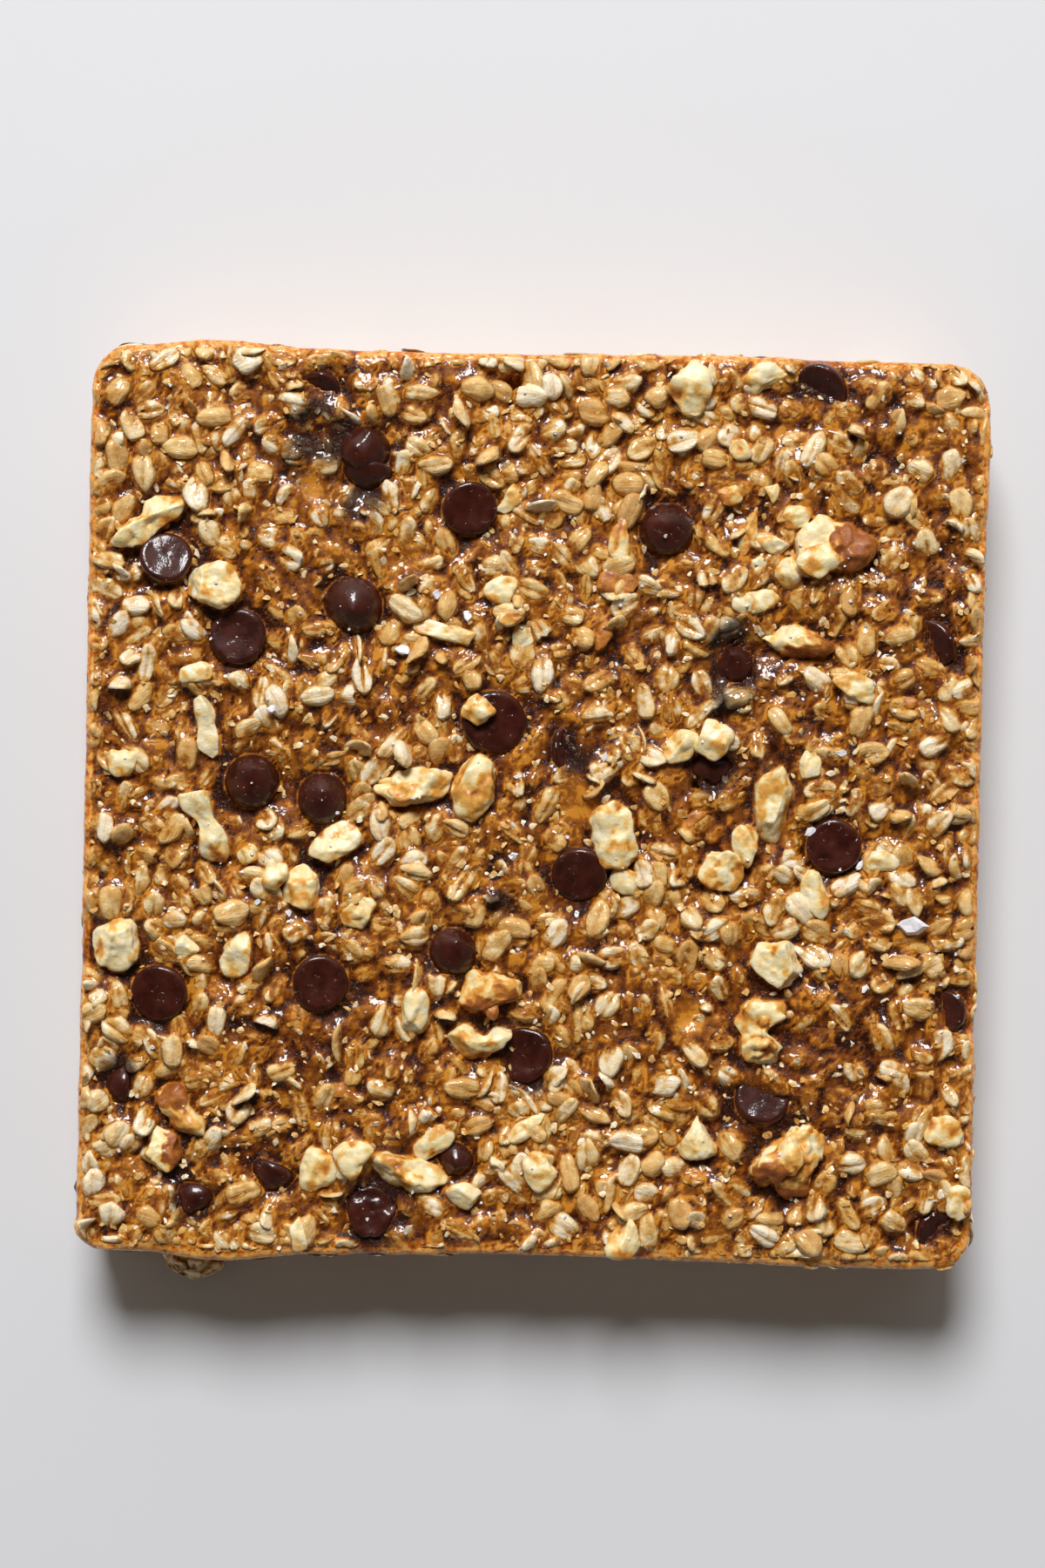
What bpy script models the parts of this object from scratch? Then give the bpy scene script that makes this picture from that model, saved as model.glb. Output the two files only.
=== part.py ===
"""An uncut slab of baked oat granola bars, with chocolate chips and walnut pieces sunk in its top.

The slab lies flat on z = 0 with its middle over the origin. +X is its right, +Y its back.
All the sizes below are in millimetres.
"""

import math

import bmesh
import bpy
import numpy as np
from mathutils import Matrix, Vector

MM = 0.001

# The slab
SIZE_X = 203.0
SIZE_Y = 205.0
THICKNESS = 28.0
DRAFT = 2.0  # how much further in the foot of each side is than its top
RIM_ROUNDING = 3.5
FOOT_CHAMFER = 1.2
CORNER_RADII = {"back_left": 9.0, "back_right": 10.0, "front_right": 8.0, "front_left": 6.0}
SIDE_WAVE = 0.5  # the sides wander in and out by this much

# Grid lines across half of the top, as parts of its half width: close together near the rim
GRID_LINES = (0.0, 0.18, 0.36, 0.53, 0.68, 0.81, 0.91, 0.965, 1.0)

# The chocolate chips, all of one shape: a disc with a rounded edge that rises to a blunt tip
CHIP_RADIUS = 6.4
CHIP_HEIGHT = 7.4
CHIP_SIDES = 10
# (part of the radius, part of the height) up the side of a chip, from its flat base to its tip
CHIP_PROFILE = ((0.9, 0.0), (1.0, 0.2), (0.72, 0.64))

WALNUT_SIDES = 9
WALNUT_RINGS = 4

GAP = 0.35  # left between two pieces that lie against each other

# Where each chip lies: x, y, its size as a part of the usual one, which face is up, how far it
# is tilted and toward which side (degrees), and how far it stands out of the slab's top.
CHIPS = {
    "chip_01": (-50.5, 93.0, 0.90, "base", 38, 250, 1.0),
    "chip_02": (-39.5, 80.5, 1.00, "dome", 42, 70, 2.6),
    "chip_03": (-39.0, 73.0, 1.06, "dome", 72, 265, 2.0),
    "chip_04": (-15.5, 67.0, 0.99, "base", 8, 300, 2.4),
    "chip_05": (29.0, 63.5, 1.03, "dome", 20, 120, 4.0),
    "chip_06": (63.5, 96.0, 0.96, "base", 35, 240, 2.2),
    "chip_07": (-84.0, 54.5, 0.95, "base", 20, 60, 3.6),
    "chip_08": (-67.5, 37.0, 1.04, "base", 4, 90, 1.8),
    "chip_09": (-41.5, 44.5, 1.11, "dome", 12, 260, 4.2),
    "chip_10": (-9.0, 19.0, 1.16, "base", 7, 320, 2.2),
    "chip_11": (-63.5, 4.5, 1.03, "dome", 22, 80, 3.8),
    "chip_12": (-47.5, 1.0, 0.98, "dome", 14, 60, 3.4),
    "chip_13": (8.0, 13.0, 0.80, "base", 40, 10, 0.4),
    "chip_14": (45.0, 33.5, 0.96, "dome", 16, 100, 0.8),
    "chip_15": (40.5, 9.0, 0.85, "dome", 50, 270, 0.6),
    "chip_16": (90.0, 38.5, 0.92, "base", 35, 200, 1.2),
    "chip_17": (68.5, -7.5, 1.00, "base", 4, 200, 2.2),
    "chip_18": (11.0, -15.0, 1.01, "base", 18, 250, 2.8),
    "chip_19": (-17.0, -33.0, 0.96, "dome", 24, 60, 2.2),
    "chip_20": (-83.5, -44.0, 1.03, "base", 10, 210, 2.0),
    "chip_21": (-47.0, -41.0, 1.01, "base", 4, 30, 1.6),
    "chip_22": (-0.5, -56.5, 1.04, "base", 12, 180, 0.8),
    "chip_23": (53.5, -65.0, 1.00, "base", 24, 90, 1.8),
    "chip_24": (94.5, -44.5, 0.86, "base", 34, 190, 1.4),
    "chip_25": (-15.5, -80.5, 0.70, "dome", 12, 300, 1.6),
    "chip_26": (-57.0, -84.5, 0.88, "dome", 68, 250, 1.4),
    "chip_27": (-74.5, -90.5, 0.72, "dome", 42, 250, 0.8),
    "chip_28": (-34.5, -92.5, 0.90, "base", 10, 90, 0.8),
    "chip_29": (-93.0, -65.0, 0.80, "dome", 76, 180, 1.0),
    "chip_30": (-99.3, -88.5, 0.80, "dome", 80, 180, -1.2),
    "chip_31": (93.5, -93.5, 0.72, "base", 30, 315, 1.2),
}

# Where each walnut piece lies: x, y, its length, width and height, how far it is turned from
# left-right (degrees), how deep its waist is (part of its width), and how far it stands out.
WALNUTS = {
    "walnut_01": (-88.5, 62.5, 18.5, 9.0, 8.0, 37, 0.20, 4.6),
    "walnut_02": (-73.0, 48.5, 12.5, 11.0, 9.0, 0, 0.00, 5.0),
    "walnut_03": (67.5, 61.0, 18.0, 13.5, 9.5, 0, 0.10, 4.6),
    "walnut_04": (59.5, 38.5, 16.0, 7.5, 8.0, -13, 0.00, 4.0),
    "walnut_05": (-74.0, 16.5, 13.8, 5.5, 6.0, 95, 0.12, 2.6),
    "walnut_06": (-73.5, -6.0, 17.5, 9.5, 8.0, 118, 0.28, 3.8),
    "walnut_07": (-44.5, -9.0, 12.0, 7.8, 5.5, 36, 0.06, 3.2),
    "walnut_08": (-52.0, -19.0, 10.0, 8.5, 7.0, 85, 0.00, 2.6),
    "walnut_09": (-66.0, -35.0, 10.5, 7.5, 7.0, 60, 0.00, 2.8),
    "walnut_10": (-93.5, -33.0, 12.0, 10.5, 8.0, 90, 0.00, 4.0),
    "walnut_11": (-27.0, 4.0, 17.2, 9.6, 8.0, 0, 0.10, 4.0),
    "walnut_12": (-13.0, 4.0, 14.8, 10.2, 8.0, 75, 0.05, 3.8),
    "walnut_13": (18.5, -6.0, 15.0, 11.0, 8.5, 95, 0.06, 4.2),
    "walnut_14": (43.0, -13.5, 10.2, 9.0, 7.0, 0, 0.00, 3.0),
    "walnut_15": (54.5, 1.5, 17.0, 8.4, 8.0, 90, 0.00, 3.6),
    "walnut_16": (56.0, -34.5, 11.8, 11.0, 8.0, 0, 0.00, 3.8),
    "walnut_17": (53.0, -50.0, 15.0, 12.2, 8.5, 95, 0.08, 3.8),
    "walnut_18": (60.5, -78.5, 16.8, 14.4, 10.0, 60, 0.00, 5.4),
    "walnut_19": (39.0, -74.0, 9.6, 9.0, 7.0, 90, 0.00, 2.8),
    "walnut_20": (-8.5, -42.0, 13.8, 10.0, 8.0, 0, 0.06, 4.2),
    "walnut_21": (-10.5, -53.0, 14.0, 8.6, 7.5, 10, 0.10, 3.6),
    "walnut_22": (-26.0, -83.5, 17.0, 8.0, 7.5, -9, 0.00, 3.6),
    "walnut_23": (-78.0, -71.0, 14.0, 8.4, 7.5, 121, 0.16, 3.4),
    "walnut_24": (-82.0, -79.5, 9.2, 8.6, 7.0, 90, 0.00, 2.8),
}

# (lower piece, upper piece): where two toppings meet, the upper one is pressed into the lower
PRESSED = (
    ("chip_02", "chip_03"),
    ("chip_07", "walnut_01"),
    ("chip_07", "walnut_02"),
    ("chip_08", "walnut_02"),
    ("chip_18", "walnut_13"),
    ("chip_19", "walnut_20"),
    ("chip_22", "walnut_21"),
    ("chip_25", "walnut_22"),
    ("chip_28", "walnut_22"),
    ("chip_20", "walnut_10"),
    ("chip_23", "walnut_17"),
    ("chip_23", "walnut_18"),
    ("chip_12", "walnut_07"),
    ("walnut_21", "walnut_20"),
    ("walnut_12", "walnut_11"),
    ("walnut_24", "walnut_23"),
)

# A clump of crumbs that sticks out of the front side, low down near its left end
CLUMP_AT = (-77.0, -103.0, 5.2)
CLUMP_SIZE = (15.0, 12.0, 8.4)


def top_height(x, y):
    """The height of the slab's uneven top."""
    long_wave = 0.6 * np.sin(x / 17.0 + 1.1) * np.cos(y / 21.0 - 0.4)
    short_wave = 0.35 * np.sin(x / 9.3 - y / 12.1 + 2.0)
    return THICKNESS + long_wave + short_wave


def bump(along, middle, width):
    return np.exp(-(((along - middle) / width) ** 2))


def side_bulge(x, y):
    """How far the rim stands out past the plain rounded square at a point on or near it."""
    back = 1.8 * bump(x, -73.0, 14.0) + 0.6 * bump(x, 38.0, 22.0)
    front = 1.8 * bump(x, -68.0, 13.0) - 1.0 * bump(x, 0.0, 26.0) + 0.6 * bump(x, 76.0, 20.0)
    right = 0.6 * bump(y, 84.0, 20.0)
    left = 0.4 * bump(y, 70.0, 30.0)
    if abs(y) / SIZE_Y > abs(x) / SIZE_X:
        return back if y > 0 else front
    return right if x > 0 else left


def corner_radius(x, y):
    return CORNER_RADII[("back" if y > 0 else "front") + ("_right" if x > 0 else "_left")]


def rounded_square(u, v, inset):
    """Maps a point of the square from -1 to 1 into the slab's outline, drawn in by inset."""
    x, y = u * (SIZE_X / 2 - inset), v * (SIZE_Y / 2 - inset)
    radius = corner_radius(x, y)
    corner_x, corner_y = SIZE_X / 2 - inset - radius, SIZE_Y / 2 - inset - radius
    across, along = (abs(x) - corner_x) / radius, (abs(y) - corner_y) / radius
    if across > 0 and along > 0:
        x = math.copysign(corner_x + radius * across * math.sqrt(1 - along**2 / 2), x)
        y = math.copysign(corner_y + radius * along * math.sqrt(1 - across**2 / 2), y)
    outward = max(abs(u), abs(v)) ** 6 * side_bulge(x, y) * 2 / SIZE_X
    return x * (1 + outward), y * (1 + outward)


def slab_mesh():
    """The slab before its pockets: a grid for the top, rings down the sides and a flat foot."""
    lines = [-line for line in reversed(GRID_LINES[1:])] + list(GRID_LINES)
    last = len(lines) - 1
    mesh = bmesh.new()

    grid = {}
    for row, v in enumerate(lines):
        for column, u in enumerate(lines):
            x, y = rounded_square(u, v, RIM_ROUNDING)
            grid[column, row] = mesh.verts.new((x, y, top_height(x, y)))
    for row in range(last):
        for column in range(last):
            corners = ((column, row), (column + 1, row), (column + 1, row + 1), (column, row + 1))
            mesh.faces.new([grid[corner] for corner in corners])

    around = [(column, 0) for column in range(last)]
    around += [(last, row) for row in range(last)]
    around += [(column, last) for column in range(last, 0, -1)]
    around += [(0, row) for row in range(last, 0, -1)]
    ring = [grid[place] for place in around]
    # (inset from the widest line, height) of each ring, from the rim down to the foot
    rings = (
        (RIM_ROUNDING * 0.3, THICKNESS - RIM_ROUNDING * 0.3),
        (0.0, THICKNESS - RIM_ROUNDING),
        (DRAFT * 0.5, THICKNESS * 0.45),
        (DRAFT, FOOT_CHAMFER),
        (DRAFT + FOOT_CHAMFER, 0.0),
    )
    for level, (inset, height) in enumerate(rings):
        below = []
        for step, (column, row) in enumerate(around):
            wave = SIDE_WAVE * math.sin(step * 0.9 + level * 2.1) if 0 < height else 0.0
            x, y = rounded_square(lines[column], lines[row], inset + wave)
            below.append(mesh.verts.new((x, y, height)))
        for step in range(len(around)):
            after = (step + 1) % len(around)
            mesh.faces.new((ring[step], below[step], below[after], ring[after]))
        ring = below
    mesh.faces.new(reversed(ring))
    return mesh


def chip_mesh(extra):
    """A chip with its base on z = 0 and its tip up, grown by extra all round."""
    mesh = bmesh.new()
    levels = [(CHIP_RADIUS * r + extra, CHIP_HEIGHT * h) for r, h in CHIP_PROFILE]
    levels[0] = (levels[0][0], -extra)
    rings = []
    for radius, height in levels:
        turns = [2 * math.pi * side / CHIP_SIDES for side in range(CHIP_SIDES)]
        ring = [(radius * math.cos(turn), radius * math.sin(turn), height) for turn in turns]
        rings.append([mesh.verts.new(point) for point in ring])
    tip = mesh.verts.new((0, 0, CHIP_HEIGHT + extra * 1.3))
    mesh.faces.new(reversed(rings[0]))
    for lower, upper in zip(rings, rings[1:]):
        for side in range(CHIP_SIDES):
            after = (side + 1) % CHIP_SIDES
            mesh.faces.new((lower[side], lower[after], upper[after], upper[side]))
    for side in range(CHIP_SIDES):
        mesh.faces.new((rings[-1][side], rings[-1][(side + 1) % CHIP_SIDES], tip))
    return mesh


def lump_mesh(size, waist, seed, extra):
    """A knobbly lump, long in X, with a waist round its middle, grown by extra all round."""
    mesh = bmesh.new()
    half = Vector(size) / 2

    def point(ring, side):
        polar = math.pi * ring / (WALNUT_RINGS + 1)
        turn = 2 * math.pi * side / WALNUT_SIDES
        knobs = 1 + 0.07 * math.sin(3 * turn + seed) * math.sin(2 * polar + seed * 1.7)
        along = math.cos(polar)
        narrow = 1 - waist * (1 - min(1.0, abs(along) * 2) ** 2)
        reach = math.sin(polar) ** 0.8 * knobs * narrow
        way = Vector((along, reach * math.cos(turn), reach * math.sin(turn)))
        return Vector(w * h for w, h in zip(way, half)) + way.normalized() * extra

    rings = [
        [mesh.verts.new(point(ring, side)) for side in range(WALNUT_SIDES)]
        for ring in range(1, WALNUT_RINGS + 1)
    ]
    right_end = mesh.verts.new((half.x + extra, 0, 0))
    left_end = mesh.verts.new((-half.x - extra, 0, 0))
    for side in range(WALNUT_SIDES):
        after = (side + 1) % WALNUT_SIDES
        mesh.faces.new((right_end, rings[0][side], rings[0][after]))
        for near, far in zip(rings, rings[1:]):
            mesh.faces.new((near[side], far[side], far[after], near[after]))
        mesh.faces.new((rings[-1][side], left_end, rings[-1][after]))
    return mesh


def chip_turn(face, tilt, toward, size):
    """The rotation and scale of a chip that has this face up and leans toward a side."""
    lean = Matrix.Rotation(math.radians(tilt), 4, "Y")
    flip = Matrix.Rotation(math.pi, 4, "X") if face == "base" else Matrix.Identity(4)
    return Matrix.Rotation(math.radians(toward), 4, "Z") @ lean @ flip @ Matrix.Scale(size, 4)


def place(mesh, turn, x, y, rise):
    """The matrix that turns a piece and puts its middle over x, y, so that it stands out by rise."""
    points = [turn @ vertex.co for vertex in mesh.verts]
    low = Vector(min(point[axis] for point in points) for axis in range(3))
    high = Vector(max(point[axis] for point in points) for axis in range(3))
    shift = Vector((x, y, top_height(x, y) + rise)) - Vector((*(low + high).xy / 2, high.z))
    return Matrix.Translation(shift) @ turn


def material(name, color, roughness, coat=0.0):
    made = bpy.data.materials.new(name)
    made.use_nodes = True
    shader = made.node_tree.nodes["Principled BSDF"]
    shader.inputs["Base Color"].default_value = (*color, 1.0)
    shader.inputs["Roughness"].default_value = roughness
    shader.inputs["Metallic"].default_value = 0.0
    shader.inputs["Coat Weight"].default_value = coat
    made.diffuse_color = (*color, 1.0)
    return made


def add_object(name, mesh, collection, look=None):
    """An object from a mesh in millimetres, with flat faces split into triangles."""
    bmesh.ops.scale(mesh, vec=(MM, MM, MM), verts=mesh.verts)
    bmesh.ops.recalc_face_normals(mesh, faces=mesh.faces)
    bmesh.ops.triangulate(mesh, faces=mesh.faces)
    data = bpy.data.meshes.new(name)
    mesh.to_mesh(data)
    mesh.free()
    made = bpy.data.objects.new(name, data)
    collection.objects.link(made)
    if look:
        data.materials.append(look)
    else:
        made.display_type = "WIRE"
    return made


def add_boolean(target, operation, name, **operand):
    modifier = target.modifiers.new(name, "BOOLEAN")
    modifier.operation = operation
    modifier.solver = "EXACT"
    for key, value in operand.items():
        setattr(modifier, key, value)


def set_in_meters(matrix):
    """The same placement for a mesh that was made in metres."""
    scaled = matrix.copy()
    scaled.translation = matrix.translation * MM
    return scaled


def add_topping(name, build, turn, x, y, rise, look, pieces, cutters):
    """A chip or walnut piece, and the slightly larger cutter that makes room for it."""
    body = build(0.0)
    matrix = set_in_meters(place(body, turn, x, y, rise))
    topping = add_object(name, body, pieces, look)
    cutter = add_object(name + "_room", build(GAP), cutters)
    topping.matrix_world = cutter.matrix_world = matrix
    return topping, cutter


def clear_scene():
    for old in list(bpy.data.objects):
        bpy.data.objects.remove(old, do_unlink=True)


def main():
    clear_scene()
    scene = bpy.context.scene.collection
    pieces = bpy.data.collections.new("granola_bar_slab")
    cutters = bpy.data.collections.new("rooms_for_toppings")
    helpers = bpy.data.collections.new("helpers")
    for collection in (pieces, cutters, helpers):
        scene.children.link(collection)
    cutters.hide_render = helpers.hide_render = True

    oat_look = material("baked_oats", (0.36, 0.17, 0.05), 0.35, coat=0.5)
    chocolate_look = material("chocolate", (0.045, 0.014, 0.010), 0.3, coat=0.3)
    walnut_look = material("walnut", (0.72, 0.53, 0.27), 0.5)

    slab = add_object("slab", slab_mesh(), pieces, oat_look)
    clump = add_object("clump", lump_mesh(CLUMP_SIZE, 0.2, 2.0, 0.0), helpers)
    clump.location = Vector(CLUMP_AT) * MM
    add_boolean(slab, "UNION", "clump", object=clump)
    add_boolean(slab, "DIFFERENCE", "rooms", operand_type="COLLECTION", collection=cutters)

    toppings = {}
    for name, (x, y, size, face, tilt, toward, rise) in CHIPS.items():
        turn = chip_turn(face, tilt, toward, size)
        toppings[name] = add_topping(
            name, chip_mesh, turn, x, y, rise, chocolate_look, pieces, cutters
        )
    for seed, (name, walnut) in enumerate(WALNUTS.items()):
        x, y, length, width, height, degrees, waist, rise = walnut
        size = (length, width, height)
        toppings[name] = add_topping(
            name,
            lambda extra: lump_mesh(size, waist, seed * 1.3, extra),
            Matrix.Rotation(math.radians(degrees), 4, "Z"),
            x,
            y,
            rise,
            walnut_look,
            pieces,
            cutters,
        )
    for lower, upper in PRESSED:
        add_boolean(toppings[lower][0], "DIFFERENCE", upper, object=toppings[upper][1])


main()
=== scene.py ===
"""The looks of an uncut slab of granola bars: rolled oats laid one by one in dark syrup, with
chocolate chips, walnut pieces and salt on top and a browned crust round the sides.

Shapes are worked out in millimetres, in the CAD model's frame, and turned into metres when a
piece is made. The slab's outline repeats the CAD part's, and toppings sit where its nodes are.
"""

import math

import bmesh
import bpy
import numpy as np
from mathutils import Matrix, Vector


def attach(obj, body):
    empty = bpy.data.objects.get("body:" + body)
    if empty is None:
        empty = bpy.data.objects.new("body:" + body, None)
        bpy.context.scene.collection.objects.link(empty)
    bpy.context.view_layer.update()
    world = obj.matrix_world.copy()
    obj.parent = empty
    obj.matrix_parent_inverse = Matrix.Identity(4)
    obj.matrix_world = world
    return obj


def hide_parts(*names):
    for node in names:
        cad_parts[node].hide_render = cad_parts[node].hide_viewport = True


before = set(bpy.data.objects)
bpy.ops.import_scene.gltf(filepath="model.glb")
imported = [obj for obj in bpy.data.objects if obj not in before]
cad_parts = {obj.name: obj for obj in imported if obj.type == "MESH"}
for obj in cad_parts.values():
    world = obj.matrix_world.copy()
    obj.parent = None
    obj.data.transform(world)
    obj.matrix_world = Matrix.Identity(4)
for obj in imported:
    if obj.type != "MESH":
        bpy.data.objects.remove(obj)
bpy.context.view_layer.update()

MM = 0.001

# ---------------------------------------------------------------- the slab's outline, as in CAD

SIZE_X = 203.0
SIZE_Y = 205.0
THICKNESS = 28.0
DRAFT = 2.0
RIM_ROUNDING = 1.8  # a little sharper than the CAD solid's, as the baked crust is
FOOT_CHAMFER = 1.2
CORNERS = {"back_left": 9.0, "back_right": 10.0, "front_right": 8.0, "front_left": 6.0}


def top_height(x, y):
    """The height of the slab's uneven top."""
    long_wave = 0.6 * np.sin(x / 17.0 + 1.1) * np.cos(y / 21.0 - 0.4)
    short_wave = 0.35 * np.sin(x / 9.3 - y / 12.1 + 2.0)
    return THICKNESS + long_wave + short_wave


def bump(along, middle, width):
    return np.exp(-(((along - middle) / width) ** 2))


def side_bulge(x, y):
    """How far the rim stands out past the plain rounded square."""
    back = 1.8 * bump(x, -73.0, 14.0) + 0.6 * bump(x, 38.0, 22.0)
    front = 1.8 * bump(x, -68.0, 13.0) - 1.0 * bump(x, 0.0, 26.0) + 0.6 * bump(x, 76.0, 20.0)
    right = 0.6 * bump(y, 84.0, 20.0)
    left = 0.4 * bump(y, 70.0, 30.0)
    across = np.where(y > 0, back, front)
    along = np.where(x > 0, right, left)
    return np.where(np.abs(y) / SIZE_Y > np.abs(x) / SIZE_X, across, along)


def corner_radius(x, y):
    back = np.where(x > 0, CORNERS["back_right"], CORNERS["back_left"])
    front = np.where(x > 0, CORNERS["front_right"], CORNERS["front_left"])
    return np.where(y > 0, back, front)


def rounded_square(u, v, inset):
    """Maps points of the square from -1 to 1 into the slab's outline, drawn in by inset."""
    x, y = u * (SIZE_X / 2 - inset), v * (SIZE_Y / 2 - inset)
    radius = corner_radius(x, y)
    corner_x, corner_y = SIZE_X / 2 - inset - radius, SIZE_Y / 2 - inset - radius
    across = np.maximum((np.abs(x) - corner_x) / radius, 0.0)
    along = np.maximum((np.abs(y) - corner_y) / radius, 0.0)
    in_corner = (across > 0) & (along > 0)
    round_x = np.sign(x) * (corner_x + radius * across * np.sqrt(1 - np.minimum(along, 1) ** 2 / 2))
    round_y = np.sign(y) * (corner_y + radius * along * np.sqrt(1 - np.minimum(across, 1) ** 2 / 2))
    x, y = np.where(in_corner, round_x, x), np.where(in_corner, round_y, y)
    outward = np.maximum(np.abs(u), np.abs(v)) ** 6 * side_bulge(x, y) * 2 / SIZE_X
    return x * (1 + outward), y * (1 + outward)


def depth_inside(x, y):
    """How far a point is inside the outline; less than 0 outside it."""
    radius = corner_radius(x, y)
    grown = side_bulge(x, y)
    past_x = np.abs(x) - (SIZE_X / 2 + grown - radius)
    past_y = np.abs(y) - (SIZE_Y / 2 + grown - radius)
    rounded = np.hypot(np.maximum(past_x, 0), np.maximum(past_y, 0))
    return radius - rounded - np.minimum(np.maximum(past_x, past_y), 0)


# ---------------------------------------------------------------- noise and mesh helpers


def soft_steps(part):
    return part * part * (3 - 2 * part)


def step_between(value, low, high):
    """0 below low, 1 above high and a smooth step between."""
    return soft_steps(np.clip((value - low) / (high - low), 0, 1))


LATTICE = 32  # cells along each axis before the noise repeats


def noise(points, cell, seed, angular=False):
    """Noise from -1 to 1 at points (..., 2 or 3), with one bump in about each cell.

    It is smooth, or else angular, like broken stone.
    """
    axes = points.shape[-1]
    lattice = np.random.default_rng(seed).uniform(-1, 1, (LATTICE,) * axes)
    places = points / cell
    corner = np.floor(places).astype(int)
    part = places - corner if angular else soft_steps(places - corner)
    total = np.zeros(points.shape[:-1])
    for turn in range(2**axes):
        offset = np.array([(turn >> axis) & 1 for axis in range(axes)])
        weight = np.prod(np.where(offset, part, 1 - part), axis=-1)
        index = tuple(np.moveaxis((corner + offset) % LATTICE, -1, 0))
        total += weight * lattice[index]
    return total


def rough_noise(points, cell, seed, octaves=3):
    """Noise with finer and weaker bumps added to it."""
    layers = [noise(points, cell / 2**n, seed + n) / 2**n for n in range(octaves)]
    return sum(layers)


def make_piece(name, points, faces, look, slot, replaced=(), smooth=True, **attributes):
    """A piece of the object from points in millimetres, faces and one number for each point."""
    mesh = bpy.data.meshes.new(name)
    corners = faces.shape[1]
    mesh.vertices.add(len(points))
    mesh.vertices.foreach_set("co", np.ascontiguousarray(points * MM, np.float32).ravel())
    mesh.loops.add(faces.size)
    mesh.loops.foreach_set("vertex_index", np.ascontiguousarray(faces, np.int32).ravel())
    mesh.polygons.add(len(faces))
    mesh.polygons.foreach_set("loop_start", np.arange(0, faces.size, corners, dtype=np.int32))
    mesh.polygons.foreach_set("use_smooth", np.full(len(faces), smooth))
    for key, values in attributes.items():
        kind = "FLOAT_VECTOR" if values.ndim == 2 else "FLOAT"
        field = "vector" if values.ndim == 2 else "value"
        made = mesh.attributes.new(key, kind, "POINT")
        made.data.foreach_set(field, np.ascontiguousarray(values, np.float32).ravel())
    mesh.update(calc_edges=True)
    mesh.materials.append(look)
    piece = bpy.data.objects.new(name, mesh)
    bpy.context.collection.objects.link(piece)
    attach(piece, "root")
    if replaced:
        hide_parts(*replaced)


def grid_faces(rows, columns, wrapped=False):
    """Quads between the points of a grid that is stored row by row."""
    steps = columns if wrapped else columns - 1
    row, column = np.meshgrid(np.arange(rows - 1), np.arange(steps), indexing="ij")
    after = (column + 1) % columns
    quads = (row * columns + column, row * columns + after)
    quads += ((row + 1) * columns + after, (row + 1) * columns + column)
    return np.stack([corner.ravel() for corner in quads], axis=1)


def joined(parts, faces):
    """One list of points and one of faces from many copies of the same mesh."""
    count, size = parts.shape[:2]
    shifted = faces[None] + (np.arange(count) * size)[:, None, None]
    return parts.reshape(-1, parts.shape[-1]), shifted.reshape(-1, faces.shape[1])


# ---------------------------------------------------------------- materials


def srgb(red, green, blue):
    """A colour picked on a screen, from 0 to 255, as Blender's linear values."""
    parts = np.array([red, green, blue]) / 255
    linear = np.where(parts <= 0.04045, parts / 12.92, ((parts + 0.055) / 1.055) ** 2.4)
    return (*linear, 1.0)


class Look:
    """A Principled material with short calls for the nodes that feed it."""

    def __init__(self, name, **values):
        self.material = bpy.data.materials.new(name)
        self.material.use_nodes = True
        self.tree = self.material.node_tree
        self.shader = self.tree.nodes["Principled BSDF"]
        for key, value in values.items():
            self.shader.inputs[key.replace("_", " ")].default_value = value

    def node(self, kind, inputs=(), **settings):
        made = self.tree.nodes.new("ShaderNode" + kind)
        for key, value in settings.items():
            setattr(made, key, value)
        for key, value in dict(inputs).items():
            self.feed(made.inputs[key], value)
        return made

    def feed(self, socket, value):
        if isinstance(value, bpy.types.NodeSocket):
            self.tree.links.new(value, socket)
        else:
            socket.default_value = value

    def use(self, **inputs):
        for key, value in inputs.items():
            self.feed(self.shader.inputs[key.replace("_", " ")], value)

    def attribute(self, name, vector=False):
        found = self.node("Attribute", attribute_name=name)
        return found.outputs["Vector" if vector else "Fac"]

    def position(self):
        return self.node("TexCoord").outputs["Object"]

    def noise(self, vector, scale, detail=3.0, roughness=0.55, distortion=0.0):
        inputs = {"Vector": vector, "Scale": scale, "Detail": detail}
        inputs |= {"Roughness": roughness, "Distortion": distortion}
        return self.node("TexNoise", inputs).outputs["Fac"]

    def plus(self, first, second):
        return self.node("Math", {0: first, 1: second}, operation="ADD").outputs[0]

    def between(self, value, low, high, out_low=0.0, out_high=1.0):
        inputs = {"Value": value, "From Min": low, "From Max": high}
        inputs |= {"To Min": out_low, "To Max": out_high}
        return self.node("MapRange", inputs, interpolation_type="SMOOTHSTEP").outputs[0]

    def mix(self, factor, first, second):
        # The colour sockets share their names with others, so they are picked by their numbers
        inputs = {"Factor": factor, 6: first, 7: second}
        return self.node("Mix", inputs, data_type="RGBA").outputs[2]

    def ramp(self, value, *stops):
        made = self.node("ValToRGB", {"Fac": value})
        ramp = made.color_ramp
        while len(ramp.elements) < len(stops):
            ramp.elements.new(0.5)
        for element, (place, color) in zip(ramp.elements, stops):
            element.position = place
            element.color = color
        return made.outputs["Color"]

    def bump(self, height, strength, distance, normal=None):
        inputs = {"Height": height, "Strength": strength, "Distance": distance}
        if normal is not None:
            inputs["Normal"] = normal
        return self.node("Bump", inputs).outputs["Normal"]


CREAM = srgb(255, 243, 215)
PALE_OAT = srgb(252, 232, 186)
GOLDEN_OAT = srgb(240, 200, 128)
TAN_OAT = srgb(216, 164, 98)
WET_OAT = srgb(216, 164, 82)
SUNK_OAT = srgb(166, 98, 24)
AMBER = srgb(136, 74, 8)
DEEP_AMBER = srgb(98, 43, 2)
DARK_SYRUP = srgb(44, 13, 0)
CRUST = srgb(198, 106, 16)
MELT = srgb(44, 18, 12)


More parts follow.
